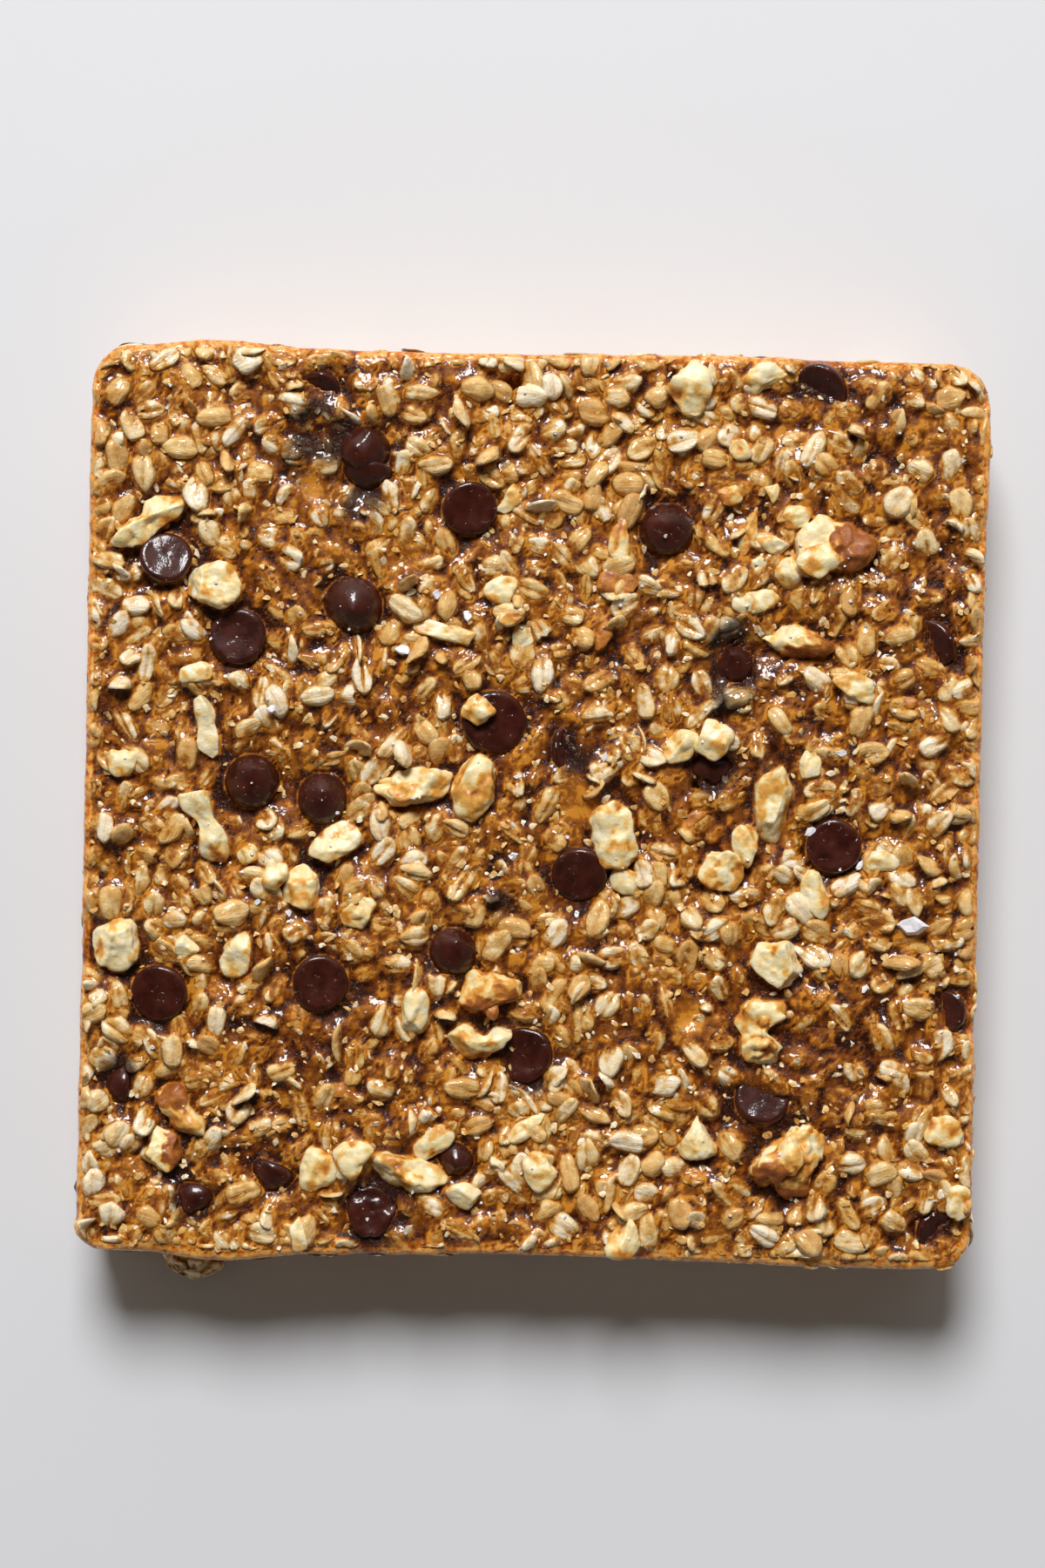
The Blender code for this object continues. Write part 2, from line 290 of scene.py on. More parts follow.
def sticky_film(look):
    """The glossy syrup film: smooth, with small drops and folds that catch the light."""
    drops = look.between(look.noise(look.position(), 800.0, 1.0, 0.5, 1.2), 0.48, 0.68)
    ripples = look.noise(look.position(), 380.0, 1.0)
    film = look.bump(drops, 1.0, 0.0004, look.bump(ripples, 0.4, 0.0007))
    look.use(Coat_Normal=film)


def make_oat_look():
    look = Look("rolled_oats", Roughness=0.6, Specular_IOR_Level=0.1)
    look.use(Coat_Weight=1.0, Coat_Roughness=0.05)
    grain = look.attribute("grain", vector=True)
    streaks = look.noise(grain, 1.0, 3.0, 0.6)
    blotches = look.noise(look.position(), 420.0, 3.0)
    tone = look.plus(look.attribute("tone"), look.between(blotches, 0.3, 0.7, -0.2, 0.2))
    dry = look.ramp(tone, (0.0, CREAM), (0.28, PALE_OAT), (0.62, GOLDEN_OAT), (0.95, TAN_OAT))
    streaked = look.mix(look.between(streaks, 0.5, 0.8, 0.0, 0.4), dry, WET_OAT)
    wet = look.plus(look.attribute("wet"), look.between(blotches, 0.3, 0.7, -0.3, 0.3))
    soaked = look.mix(look.between(wet, 0.05, 0.6), streaked, WET_OAT)
    sunk = look.mix(look.between(wet, 0.5, 0.85), soaked, SUNK_OAT)
    sunk = look.mix(look.between(wet, 0.8, 1.15), sunk, AMBER)
    # The crease is painted darker, towards the soaked oat's colour: painted shade.
    creased = look.mix(look.attribute("groove"), sunk, SUNK_OAT)
    smeared = look.mix(look.attribute("smear"), creased, MELT)
    look.use(Base_Color=smeared)
    look.use(Normal=look.bump(streaks, 0.5, 0.0006, look.bump(blotches, 0.5, 0.001)))
    sticky_film(look)
    return look.material


def make_syrup_look():
    look = Look("syrup", Roughness=0.5, Specular_IOR_Level=0.1)
    look.use(Coat_Weight=1.0, Coat_Roughness=0.03)
    lumps = look.noise(look.position(), 700.0, 4.0, 0.6)
    patches = look.noise(look.position(), 110.0, 3.0)
    mottled = look.between(lumps, 0.3, 0.7, -0.18, 0.18)
    thin = look.plus(look.attribute("thin"), mottled)
    thin = look.plus(thin, look.between(patches, 0.3, 0.7, -0.2, 0.2))
    colour = look.ramp(
        thin,
        (0.0, DARK_SYRUP),
        (0.3, DEEP_AMBER),
        (0.6, AMBER),
        (0.85, SUNK_OAT),
        (1.0, srgb(210, 138, 40)),
    )
    shades = look.plus(look.attribute("thin"), look.between(lumps, 0.3, 0.7, -0.4, 0.4))
    baked = look.ramp(
        shades,
        (0.0, srgb(106, 42, 6)),
        (0.3, srgb(152, 78, 14)),
        (0.55, CRUST),
        (0.85, srgb(222, 138, 38)),
        (1.0, srgb(234, 172, 86)),
    )
    browned = look.mix(look.attribute("crust"), colour, baked)
    smeared = look.mix(look.attribute("smear"), browned, MELT)
    look.use(Base_Color=smeared)
    look.use(Normal=look.bump(lumps, 0.4, 0.0005))
    sticky_film(look)
    return look.material


def make_chocolate_look():
    look = Look("chocolate", Specular_IOR_Level=0.15, Coat_Weight=0.8, Coat_Roughness=0.08)
    haze = look.noise(look.position(), 240.0, 4.0, 0.6)
    colour = look.ramp(haze, (0.3, srgb(46, 15, 8)), (0.7, srgb(76, 31, 20)))
    look.use(Base_Color=colour, Roughness=look.between(haze, 0.3, 0.7, 0.3, 0.45))
    scuffs = look.noise(look.position(), 700.0, 4.0, 0.6)
    look.use(Normal=look.bump(scuffs, 0.22, 0.0004))
    drops = look.between(look.noise(look.position(), 520.0, 1.0, 0.5, 0.8), 0.64, 0.74)
    look.use(Coat_Normal=look.bump(drops, 0.6, 0.0006, look.bump(haze, 0.3, 0.001)))
    return look.material


def make_walnut_look():
    look = Look("walnut", Roughness=0.5, Coat_Weight=0.3, Coat_Roughness=0.15)
    grain = look.noise(look.position(), 420.0, 5.0, 0.6)
    # tone holds each piece's browns, with painted shade in its folds and hollows.
    tone = look.plus(look.attribute("tone"), look.between(grain, 0.3, 0.7, -0.14, 0.14))
    flesh = look.ramp(
        tone,
        (0.0, srgb(252, 240, 202)),
        (0.25, srgb(248, 224, 158)),
        (0.55, srgb(236, 176, 80)),
        (0.8, srgb(202, 126, 42)),
        (1.0, srgb(150, 82, 30)),
    )
    soaked = look.mix(look.between(look.attribute("wet"), 0.5, 1.0, 0.0, 0.8), flesh, WET_OAT)
    look.use(Base_Color=soaked)
    fine = look.noise(look.position(), 1300.0, 3.0, 0.6)
    look.use(Normal=look.bump(fine, 0.4, 0.0003, look.bump(grain, 0.5, 0.0006)))
    return look.material


def make_salt_look():
    look = Look("salt", Roughness=0.18, Coat_Weight=0.3)
    frost = look.noise(look.position(), 900.0, 3.0)
    look.use(Base_Color=look.ramp(frost, (0.3, srgb(226, 226, 236)), (0.7, srgb(255, 255, 255))))
    look.use(Normal=look.bump(frost, 0.3, 0.0004))
    return look.material


# ---------------------------------------------------------------- the bed that toppings lie on


BED_CELL = 0.4
BED_MARGIN = 4.0  # how far the top's bed reaches past the slab


class Bed:
    """The height of what has been laid so far, on a grid of square cells."""

    def __init__(self, low, high, cell, wraps=False):
        self.low = np.array(low, float)
        self.cell = cell
        self.wraps = wraps
        self.size = np.ceil((np.array(high) - low) / cell).astype(int) + 1
        axes = [self.low[axis] + cell * np.arange(self.size[axis]) for axis in (0, 1)]
        self.x, self.y = np.meshgrid(*axes, indexing="ij")
        self.height = np.zeros(self.size)
        self.taken = np.zeros(self.size, bool)

    def index(self, points):
        cells = np.round((points[..., :2] - self.low) / self.cell).astype(int)
        first = cells[..., 0] % self.size[0] if self.wraps else cells[..., 0]
        return np.clip(first, 0, self.size[0] - 1), np.clip(cells[..., 1], 0, self.size[1] - 1)

    def read(self, field, points):
        return field[self.index(points)]

    def stamp(self, points):
        np.maximum.at(self.height, self.index(points), points[..., 2])


def blurred(field, cells):
    """The field smoothed over about this many cells each way."""
    reach = math.ceil(3 * cells)
    weights = np.exp(-((np.arange(-reach, reach + 1) / cells) ** 2) / 2)
    weights /= weights.sum()
    for _ in range(2):
        padded = np.pad(field, ((reach, reach), (0, 0)), "edge")
        shifted = (padded[start : start + len(field)] for start in range(len(weights)))
        field = sum(weight * rows for weight, rows in zip(weights, shifted)).T
    return field


def settle(bed, level, points, faces, depth):
    """Tells the bed what a topping covers down to this depth, so no oat is laid through it."""
    corners = points[faces]
    for first in np.linspace(0, 1, 4):
        for second in np.linspace(0, 1, 4):
            left = corners[:, 0] + (corners[:, 1] - corners[:, 0]) * first
            right = corners[:, -1] + (corners[:, -2] - corners[:, -1]) * first
            spots = left + (right - left) * second
            spots = spots[spots[:, 2] > bed.read(level, spots) - depth]
            bed.stamp(spots)
            bed.taken[bed.index(spots)] = True


def rest_on(bed, shape, place, sink):
    """How high a loose shape lies when it rests on what is under it."""
    spots = shape + (*place, 0)
    under = spots[spots[:, 2] < np.quantile(spots[:, 2], 0.5)]
    return np.quantile(bed.read(bed.height, under) - under[:, 2], 0.85) - sink


# ---------------------------------------------------------------- rolled oats

# Lines of an oat's mesh along and across it
OAT_ALONG = np.array([-1.0, -0.82, -0.55, -0.28, 0.0, 0.28, 0.55, 0.82, 1.0])
OAT_ACROSS = np.array([-1.0, -0.66, -0.26, 0.0, 0.26, 0.66, 1.0])


def rim_of_grid(rows, columns):
    """The indices round the rim of a grid, in order."""
    first = list(range(columns))
    right = [row * columns + columns - 1 for row in range(1, rows)]
    last = [(rows - 1) * columns + column for column in range(columns - 2, -1, -1)]
    left = [row * columns for row in range(rows - 2, 0, -1)]
    return np.array(first + right + last + left)


def leaf_faces(rows, columns):
    """Triangles of one leaf: a grid on top, closed by a fan from one point below."""
    quads = grid_faces(rows, columns)
    top = np.concatenate([quads[:, [0, 1, 2]], quads[:, [0, 2, 3]]])
    rim = rim_of_grid(rows, columns)
    below = np.full(len(rim), rows * columns)
    return np.concatenate([top, np.stack([np.roll(rim, -1), rim, below], axis=1)])


class Oats:
    """The sizes and quirks of many oats, each different."""

    def __init__(self, count, rng, length=8.6, width=5.1, broken=0.25, creased=0.6):
        def spread(low, high):
            return rng.uniform(low, high, (count, 1))

        self.count = count
        self.length = np.clip(rng.normal(1, 0.12, (count, 1)), 0.72, 1.28) * length
        self.width = np.clip(rng.normal(1, 0.14, (count, 1)), 0.65, 1.3) * width
        self.thick = spread(0.3, 0.48) * self.width
        self.point = spread(-0.18, 0.18)
        self.waves = [(spread(0, 2 * np.pi), spread(0, size)) for size in (0.07, 0.06, 0.05, 0.05)]
        self.cut = np.where(rng.random((count, 1)) < broken, spread(0.0, 0.7), 2.0)
        self.bend = spread(-0.08, 0.12)
        self.cup = spread(-0.22, 0.16)
        self.twist = spread(-0.35, 0.35)
        self.crease = np.where(rng.random((count, 1)) < creased, spread(0.5, 1.0), 0.12)
        self.crease_shift = spread(-0.16, 0.16)
        self.ridges = spread(2.2, 4.4)
        self.tone = np.clip(rng.beta(1.5, 1.7, (count, 1)), 0, 1)
        self.seed = spread(0, 900)

    def points(self, along, across):
        """Points of every oat's upper face, and how deep in its crease each is."""
        s, t = np.meshgrid(along, across)
        s, t = s.ravel(), t.ravel()
        u, v = s * np.sqrt(1 - t**2 / 2), t * np.sqrt(1 - s**2 / 2)
        around = np.arctan2(v, u)
        reach = np.hypot(u, v)
        rim = 1 + sum(
            size * np.cos((lobes + 2) * around + phase)
            for lobes, (phase, size) in enumerate(self.waves)
        )
        u_cut = np.minimum(u * rim, self.cut + 0.08 * np.cos(7 * v + self.seed))
        v_wide = v * rim * (1 + self.point * u) * (1 - 0.1 * u**2)
        domed = np.clip(1 - reach**2.4, 0, 1) ** 0.55
        across_crease = v - self.crease_shift * (1 - u**2)
        groove = self.crease * np.exp(-((across_crease / 0.15) ** 2))
        groove = groove * np.clip(1.25 - reach**2, 0, 1)
        ridged = np.cos(self.ridges * np.pi * across_crease + self.seed) * domed
        x = u_cut * self.length / 2
        y = v_wide * self.width / 2
        z = self.thick * (0.5 * domed - 0.3 * groove + 0.05 * ridged)
        z = z + self.length * self.bend * (u_cut**2 - 0.3) + self.width * self.cup * (v**2 - 0.3)
        z = z + self.twist * u * v * self.width * 0.5
        points = np.stack([x, y, z], axis=-1)
        dents = noise(points + self.seed[..., None], 1.7, 61)
        points[..., 2] += 0.14 * dents
        return points, groove

    def mesh_points(self):
        """Points of every oat's mesh, with the one below last, and their groove and grain."""
        top, groove = self.points(OAT_ALONG, OAT_ACROSS)
        below = top.mean(axis=1, keepdims=True)
        below[:, 0, 2] -= 0.7 * self.thick[:, 0]
        points = np.concatenate([top, below], axis=1)
        groove = np.concatenate([groove, np.zeros((self.count, 1))], axis=1)
        grain = points * (0.3, 1.7, 0.8)
        grain[..., 2] += self.seed
        return points, groove, grain


def turned(degrees_z, slope_x=0.0, slope_y=0.0):
    """A rotation: first about Z, then leant so that it follows a slope in x and y."""
    turn = math.radians(degrees_z)
    flat = np.array([[math.cos(turn), -math.sin(turn), 0], [math.sin(turn), math.cos(turn), 0]])
    flat = np.vstack([flat, [0, 0, 1]])
    normal = np.array([-slope_x, -slope_y, 1.0])
    normal /= np.linalg.norm(normal)
    axis_x = np.array([1.0, 0.0, slope_x])
    axis_x -= normal * axis_x.dot(normal)
    axis_x /= np.linalg.norm(axis_x)
    return np.stack([axis_x, np.cross(normal, axis_x), normal], axis=1) @ flat


def lay_oats(bed, oats, find_place, rng, leaning=0.25, on_edge=0.1, sink=0.5, covering=0.06):
    """Lays oats one after another on what is there. Returns each one's rotation and place.

    An oat that would cover more than a small part of a topping is tried somewhere else.
    """
    dense, _ = oats.points(np.linspace(-1, 1, 21), np.linspace(-1, 1, 13))
    turns, places = np.zeros((oats.count, 3, 3)), np.zeros((oats.count, 3))
    for number in range(oats.count):
        shape = dense[number]
        for _ in range(12):
            place, degrees = find_place(), rng.uniform(0, 360)
            flat = shape @ turned(degrees).T + (*place, 0)
            if bed.read(bed.taken, flat).mean() < covering:
                break
        ground = bed.read(bed.height, flat)
        centred = flat[:, :2] - place
        slope = (centred * (ground - ground.mean())[:, None]).sum(0) / (centred**2).sum(0)
        slope = np.clip(0.8 * slope, -0.7, 0.7) + rng.normal(0, leaning, 2)
        if rng.random() < on_edge:
            way = rng.uniform(0, 2 * np.pi)
            slope = rng.uniform(1.0, 2.6) * np.array([math.cos(way), math.sin(way)])
        turns[number] = turned(degrees, *slope)
        lying = shape @ turns[number].T + (*place, 0)
        gap = bed.read(bed.height, lying) - (lying[:, 2] - 0.6 * oats.thick[number])
        lift = np.quantile(gap, 0.75) - sink
        places[number] = (*place, lift)
        bed.stamp(lying + (0, 0, lift))
    return turns, places


def laid(points, turns, places):
    return np.einsum("nij,nkj->nki", turns, points) + places[:, None]


# ---------------------------------------------------------------- the top of the slab

OAT_BED_DEPTH = 3.6  # the lowest oats that show lie this far under the slab's top
SYRUP_SOFTNESS = 1.5  # how widely the syrup evens out what lies in it
SYRUP_COVER = 0.18  # how far the syrup stands above the average height of the oats
SYRUP_LOWEST = -1.6  # oats lower or higher than this, from the slab's top, don't move it
SYRUP_HIGHEST = 1.3
SYRUP_AT_TOPPINGS = -1.0  # where it stands round the toppings, from the slab's top
SMALL_SWELL = 0.42  # how far it rises and falls over about 10 mm, over 26 mm and in a pool
WIDE_SWELL = 0.45
POOL_SWELL = 0.5
CREEP_WIDTH = 0.6  # how finely it follows single oats, how far, and its most
CREEP = 0.38
CREEP_LIMIT = 0.9
TOPPING_CLEARANCE = 0.7  # how far it stays under a topping's surface

# Pools of clear syrup with few oats in them: x, y and radius
POOLS = ((10.0, 1.0, 5.5), (36.5, -47.0, 4.5), (-52.0, 71.0, 4.0), (-30.0, 56.0, 4.5))
# Where melted chocolate has run: x, y and radius
SMEARS = (
    (-51.0, 78.0, 6.5),
    (-47.0, 83.0, 5.0),
    (-40.0, 68.0, 4.5),
    (-7.0, -22.5, 3.2),
    (45.0, 26.5, 4.5),
    (45.5, 40.5, 4.0),
    (-50.5, 87.0, 4.5),
    (8.0, 12.0, 4.5),
    (-92.5, -62.0, 4.0),
    (0.0, -62.5, 4.0),
    (-75.0, -91.0, 4.5),
    (46.0, 36.0, 7.0),
    (41.0, 9.0, 5.0),
    (-33.0, -93.0, 7.5),
)
# Burst bubbles, where no oat lies: x, y and radius
HOLES = (
    (-6.6, 96.4, 1.9),
    (-14.4, 53.7, 1.0),
    (37.0, 5.5, 1.1),
    (-73.0, 60.0, 0.9),
    (60.5, 88.0, 1.0),
)


def near_any(x, y, spots, softness=0.45):
    """1 in the middle of a spot and 0 away from all of them."""
    found = np.zeros(np.shape(x))
    for spot_x, spot_y, radius in spots:
        away = np.hypot(x - spot_x, y - spot_y) / radius
        found = np.maximum(found, 1 - step_between(away, 1 - softness, 1 + softness))
    return found


def smear_at(points):
    spots = near_any(points[..., 0], points[..., 1], SMEARS)
    ragged = rough_noise(points[..., :2], 5.0, 71)
    return np.clip(spots * (0.95 + 0.9 * ragged), 0, 0.92)


def rim_drop(x, y):
    """How far the rounded rim is below the top at this place."""
    short = np.clip(RIM_ROUNDING - depth_inside(x, y), 0, RIM_ROUNDING)
    return RIM_ROUNDING - np.sqrt(RIM_ROUNDING**2 - short**2)


CRUST_WIDTH = 1.1
CRUST_WIDER_IN_FRONT = 1.1


def crust_width(x, y):
    """How wide the browned rim is, seen from above: wider along the front."""
    front = step_between(-y, SIZE_Y / 2 - 8, SIZE_Y / 2 - 4)
    wander = 0.5 * noise(np.stack([x, y], axis=-1), 7.0, 17)
    plain = CRUST_WIDTH + CRUST_WIDER_IN_FRONT * front
    return plain + 0.5 * np.maximum(side_bulge(x, y), 0) + wander


def press_to_wall(points):
    """Moves points that are outside the slab's crust to it, as the pan pressed them."""
    x, y = points[..., 0], points[..., 1]
    out = np.maximum(crust_width(x, y) - depth_inside(x, y), 0)
    side = np.abs(y) / SIZE_Y > np.abs(x) / SIZE_X
    points[..., 0] = np.where(side, x, x - np.sign(x) * out)
    points[..., 1] = np.where(side, y - np.sign(y) * out, y)
    return points


def fill_with_syrup(bed, level):
    """The height of the syrup: it evens out the oats and creeps up those that stick out."""
    oats = np.clip(bed.height, level + SYRUP_LOWEST, level + SYRUP_HIGHEST)
    oats = np.where(bed.taken, level + SYRUP_AT_TOPPINGS, oats)
    places = np.stack([bed.x, bed.y], axis=-1)
    even = blurred(oats, SYRUP_SOFTNESS / bed.cell)
    swell = SMALL_SWELL * rough_noise(places, 10.0, 11, 2) + WIDE_SWELL * noise(places, 26.0, 13)
    swell = swell + POOL_SWELL * near_any(bed.x, bed.y, POOLS)
    even = even + SYRUP_COVER + swell
    creeping = blurred(oats, CREEP_WIDTH / bed.cell) - even
    syrup = even + CREEP * np.clip(creeping, -CREEP_LIMIT, CREEP_LIMIT)
    return np.where(bed.taken, np.minimum(syrup, bed.height - TOPPING_CLEARANCE), syrup)


# ---------------------------------------------------------------- chocolate chips

CHIP_HEIGHT = 7.4
CHIP_RADIUS = 6.4
# (part of the radius, part of the height) from the middle of the base, over its lip to the tip
CHIP_PROFILE = (
    (0.0, 0.06),
    (0.45, 0.055),
    (0.74, 0.045),
    (0.82, 0.035),
    (0.89, 0.0),
    (0.95, 0.02),
    (1.0, 0.11),
    (0.985, 0.28),
    (0.90, 0.45),
    (0.74, 0.63),
    (0.52, 0.79),
    (0.28, 0.91),
    (0.10, 0.98),
    (0.0, 1.0),
)
CHIP_RINGS = 24
CHIP_SIDES = 40
CHIP_SEED = 500
# A chip this far under the slab's top still keeps oats and syrup off it
CHIP_KEPT_CLEAR = 1.2
# How far each chip has melted, from 0 to 1; the others keep their shape
MELTED = {"chip_01": 0.8, "chip_13": 1.0, "chip_14": 0.7, "chip_15": 0.8, "chip_16": 0.4}
MELTED |= {"chip_22": 0.5, "chip_24": 0.3, "chip_26": 0.5, "chip_27": 0.7, "chip_28": 1.0}
MELTED |= {"chip_31": 1.0, "chip_06": 0.3, "chip_25": 0.5, "chip_02": 0.5}
# Chips that broke: how much of their height is left
BROKEN = {"chip_03": 0.8}
# Chips that lie a little flatter than in the CAD model: how far their axis is moved
LEANT = {"chip_23": np.array([0.0, 0.17, 0.0])}


def smooth_profile(profile, count):
    """More points on a smooth line through the profile's points."""
    known = np.array(profile)
    lengths = np.concatenate([[0], np.cumsum(np.linalg.norm(np.diff(known, axis=0), axis=1))])
    places = np.linspace(0, lengths[-1], count)
    fine = np.stack([np.interp(places, lengths, known[:, axis]) for axis in (0, 1)], axis=1)
    for _ in range(2):
        fine[1:-1] = (fine[:-2] + 2 * fine[1:-1] + fine[2:]) / 4
    return fine


def chip_pose(node):
    """(middle of the base, way from the base to the tip, size) of a chip in the CAD model."""
    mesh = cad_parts[node].data
    areas = {}
    for face in mesh.polygons:
        key = tuple(round(part, 2) for part in face.normal)
        areas[key] = areas.get(key, 0.0) + face.area
    base_normal = Vector(max(areas, key=areas.get)).normalized()
    corners = [vertex.co for vertex in mesh.vertices]
    tip = min(corners, key=base_normal.dot)
    base = max(base_normal.dot(corner) for corner in corners)
    height = base - base_normal.dot(tip)
    middle = tip + base_normal * height
    return np.array(middle) / MM, -np.array(base_normal), height / MM / CHIP_HEIGHT


def chip_points(node, number, melted):
    """Points of one detailed chip, in its place."""
    rng = np.random.default_rng(CHIP_SEED + number)
    profile = smooth_profile(CHIP_PROFILE, CHIP_RINGS)
    turn = np.linspace(0, 2 * np.pi, CHIP_SIDES, endpoint=False)
    oval = 1 + rng.uniform(0, 0.035) * np.cos(2 * turn + rng.uniform(0, 6))
    oval += (0.012 + 0.05 * melted) * np.cos(3 * turn + rng.uniform(0, 6))
    radius = profile[:, :1] * CHIP_RADIUS * oval
    height = np.repeat(profile[:, 1:] * CHIP_HEIGHT, CHIP_SIDES, axis=1)
    x, y = radius * np.cos(turn), radius * np.sin(turn)
    lean = rng.uniform(-0.6, 0.6, 2) * (profile[:, 1:] ** 2)[..., None]
    points = np.stack([x + lean[..., 0], y + lean[..., 1], height], axis=-1).reshape(-1, 3)
    points += (0.14 + 0.46 * melted) * rough_noise(points + 40 * number, 4.0, 23)[:, None]
    points[:, 2] *= BROKEN.get(node, 1.0)
    middle, axis, size = chip_pose(node)
    axis = axis + LEANT.get(node, 0.0)
    axis /= np.linalg.norm(axis)
    side = np.cross(axis, (0.3, 1.0, 0.2))
    side /= np.linalg.norm(side)
    turned_axes = np.stack([side, np.cross(axis, side), axis], axis=1)
    return points * size @ turned_axes.T + middle


def make_chips(bed, level, look):
    names = [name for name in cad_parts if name.startswith("chip_")]
    parts = [chip_points(name, i, MELTED.get(name, 0.0)) for i, name in enumerate(names)]
    points, faces = joined(np.stack(parts), grid_faces(CHIP_RINGS, CHIP_SIDES, wrapped=True))
    settle(bed, level, points, faces, CHIP_KEPT_CLEAR)
    make_piece("chocolate_chips", points, faces, look, "chocolate", names)


# ---------------------------------------------------------------- walnut pieces


def ball(levels):
    """Points and triangles of a sphere made from an icosahedron."""
    sphere = bmesh.new()
    bmesh.ops.create_icosphere(sphere, subdivisions=levels, radius=1.0)
    points = np.array([vertex.co for vertex in sphere.verts])
    faces = np.array([[vertex.index for vertex in face.verts] for face in sphere.faces])
    sphere.free()
    return points, faces


class Nut:
    """What sets one piece of walnut apart from the others.

    waist narrows its middle, taper widens one end, bend curves it and hollow cuts a notch into
    its side. breaks is how many flat breaks it has. skin is how much of it keeps its brown skin,
    from the way skin_side in degrees. patches is how much tan there is on its bare flesh.
    """

    def __init__(self, waist=0.0, taper=0.0, bend=0.0, hollow=0.0, breaks=8, skin=0.0,
                 skin_side=0.0, patches=0.35, rough=1.0):
        self.waist, self.taper, self.bend, self.hollow = waist, taper, bend, hollow
        self.breaks, self.skin, self.skin_side = breaks, skin, skin_side
        self.patches, self.rough = patches, rough


WALNUT_SEED = 901
WALNUT_BIT_SEED = 301
WALNUT_KEPT_CLEAR = 0.3
# How much larger a piece is than its CAD solid, as its broken surface has hollows
WALNUT_GROWTH = (1.05, 1.08, 1.02)
# Angles are from the piece's own long axis; the first two numbers of Nut are waist and taper
NUTS = {
    "walnut_01": Nut(waist=0.45, taper=-0.15, bend=0.25, patches=0.6, rough=1.2),
    "walnut_02": Nut(taper=0.2, breaks=6, patches=0.4, rough=0.9),
    "walnut_03": Nut(waist=0.15, taper=0.1, breaks=9, skin=0.5, skin_side=10.0, patches=0.3),
    "walnut_04": Nut(taper=0.35, breaks=9, skin=0.25, skin_side=-60.0, patches=0.6),
    "walnut_05": Nut(waist=0.3, breaks=16, patches=0.1, rough=0.5),
    "walnut_06": Nut(waist=0.5, taper=0.25, bend=-0.2, breaks=16, patches=0.3, rough=0.5),
    "walnut_07": Nut(breaks=7, patches=0.1),
    "walnut_11": Nut(taper=0.3, breaks=8, patches=0.5, rough=1.5),
    "walnut_12": Nut(taper=0.45, breaks=8, patches=0.6),
    "walnut_13": Nut(waist=0.1, breaks=7, patches=0.6, rough=1.2),
    "walnut_15": Nut(breaks=8, patches=0.3, rough=0.7),
    "walnut_16": Nut(breaks=9, patches=0.35, rough=0.8),
    "walnut_17": Nut(waist=0.2, hollow=0.4, breaks=10, patches=0.45, rough=1.6),
    "walnut_18": Nut(0.1, -0.2, breaks=10, skin=0.1, skin_side=200.0, patches=0.5, rough=1.6),
    "walnut_19": Nut(taper=0.6, breaks=6, patches=0.2),
    "walnut_20": Nut(taper=0.2, breaks=8, skin=0.15, skin_side=-90.0, patches=0.7),
    "walnut_21": Nut(taper=-0.2, hollow=0.75, breaks=9, patches=0.4),
    "walnut_22": Nut(taper=-0.4, breaks=6, patches=0.6),
    "walnut_23": Nut(waist=0.3, breaks=8, skin=0.15, skin_side=180.0, patches=0.6),
    "walnut_24": Nut(breaks=12, skin=0.25, skin_side=-60.0, patches=0.4),
}
# Turns noise so that its cells don't line up with a piece's axes
SKEWED = np.array([[0.36, 0.48, -0.8], [-0.8, 0.6, 0.0], [0.48, 0.64, 0.6]])
EDGE_SHARPNESS = 40  # the higher, the sharper the edges between a piece's flat breaks


def nut_shape(ways, size, nut, seed):
    """A broken piece of walnut that fills a box of this size.

    Returns its points and how brown each is: 0 for bare flesh, 1 for skin, and painted shade in
    folds and hollows.
    """
    rng = np.random.default_rng(seed)
    normals = rng.normal(0, 1, (nut.breaks, 3))
    normals /= np.linalg.norm(normals, axis=1, keepdims=True)
    reach = np.maximum(ways @ normals.T, 0) / rng.uniform(0.5, 0.85, nut.breaks)
    radius = ((reach**EDGE_SHARPNESS).sum(axis=1) + 1.0) ** (-1 / EDGE_SHARPNESS)
    points = ways * radius[:, None]
    points /= np.abs(points).max(axis=0)
    x, y, z = points.T
    width = (1 - nut.waist * np.exp(-((x / 0.38) ** 2))) * (1 + nut.taper * x)
    notch = nut.hollow * np.exp(-((x / 0.3) ** 2)) * step_between(y, -0.3, 0.8)
    y = y * width + nut.bend * (x**2 - 0.4) - 1.2 * notch
    z = z * width * (1 + 0.12 * np.cos(3 * x + seed))
    points = np.stack([x, y, z], axis=-1) * size / 2
    apart = points + 60.0 * (seed % 97)
    folds = rough_noise(apart, 5.5, 45, 2)
    fold = np.exp(-((folds / 0.16) ** 2)) * step_between(nut.rough, 0.6, 2.2)
    fold = fold * step_between(noise(apart, 6.0, 50), -0.3, 0.3)
    outward = ways + 0.4 * np.sign(ways) * np.abs(points / size)
    chipped = 0.5 * noise(apart, 3.6, 46, True) + 0.45 * noise(apart @ SKEWED, 1.6, 47, True)
    relief = (chipped - 0.8 * fold) * nut.rough * sum(size) / 32.0
    relief = relief + 0.2 * noise(apart @ SKEWED, 0.9, 51, True)
    points = points + outward * relief[:, None]
    low, high = points.min(0), points.max(0)
    points = (points - (low + high) / 2) * (size / (high - low))
    tan = step_between(rough_noise(apart, 2.8, 48) + nut.patches - 0.55, -0.2, 0.5)
    # Folds and the hollows of the broken surface are painted browner: painted shade.
    brown = 0.12 + 0.5 * tan + 0.55 * fold + 0.3 * step_between(-chipped, 0.05, 0.5)
    if nut.skin:
        side = math.radians(nut.skin_side)
        way = points / size * 2 @ (math.cos(side), math.sin(side), 0.45)
        edge = way + 0.35 * rough_noise(apart, 3.0, 49) - (0.75 - 1.1 * nut.skin)
        brown = brown + 0.9 * step_between(edge, -0.08, 0.08)
    return points, np.clip(brown, 0, 1)


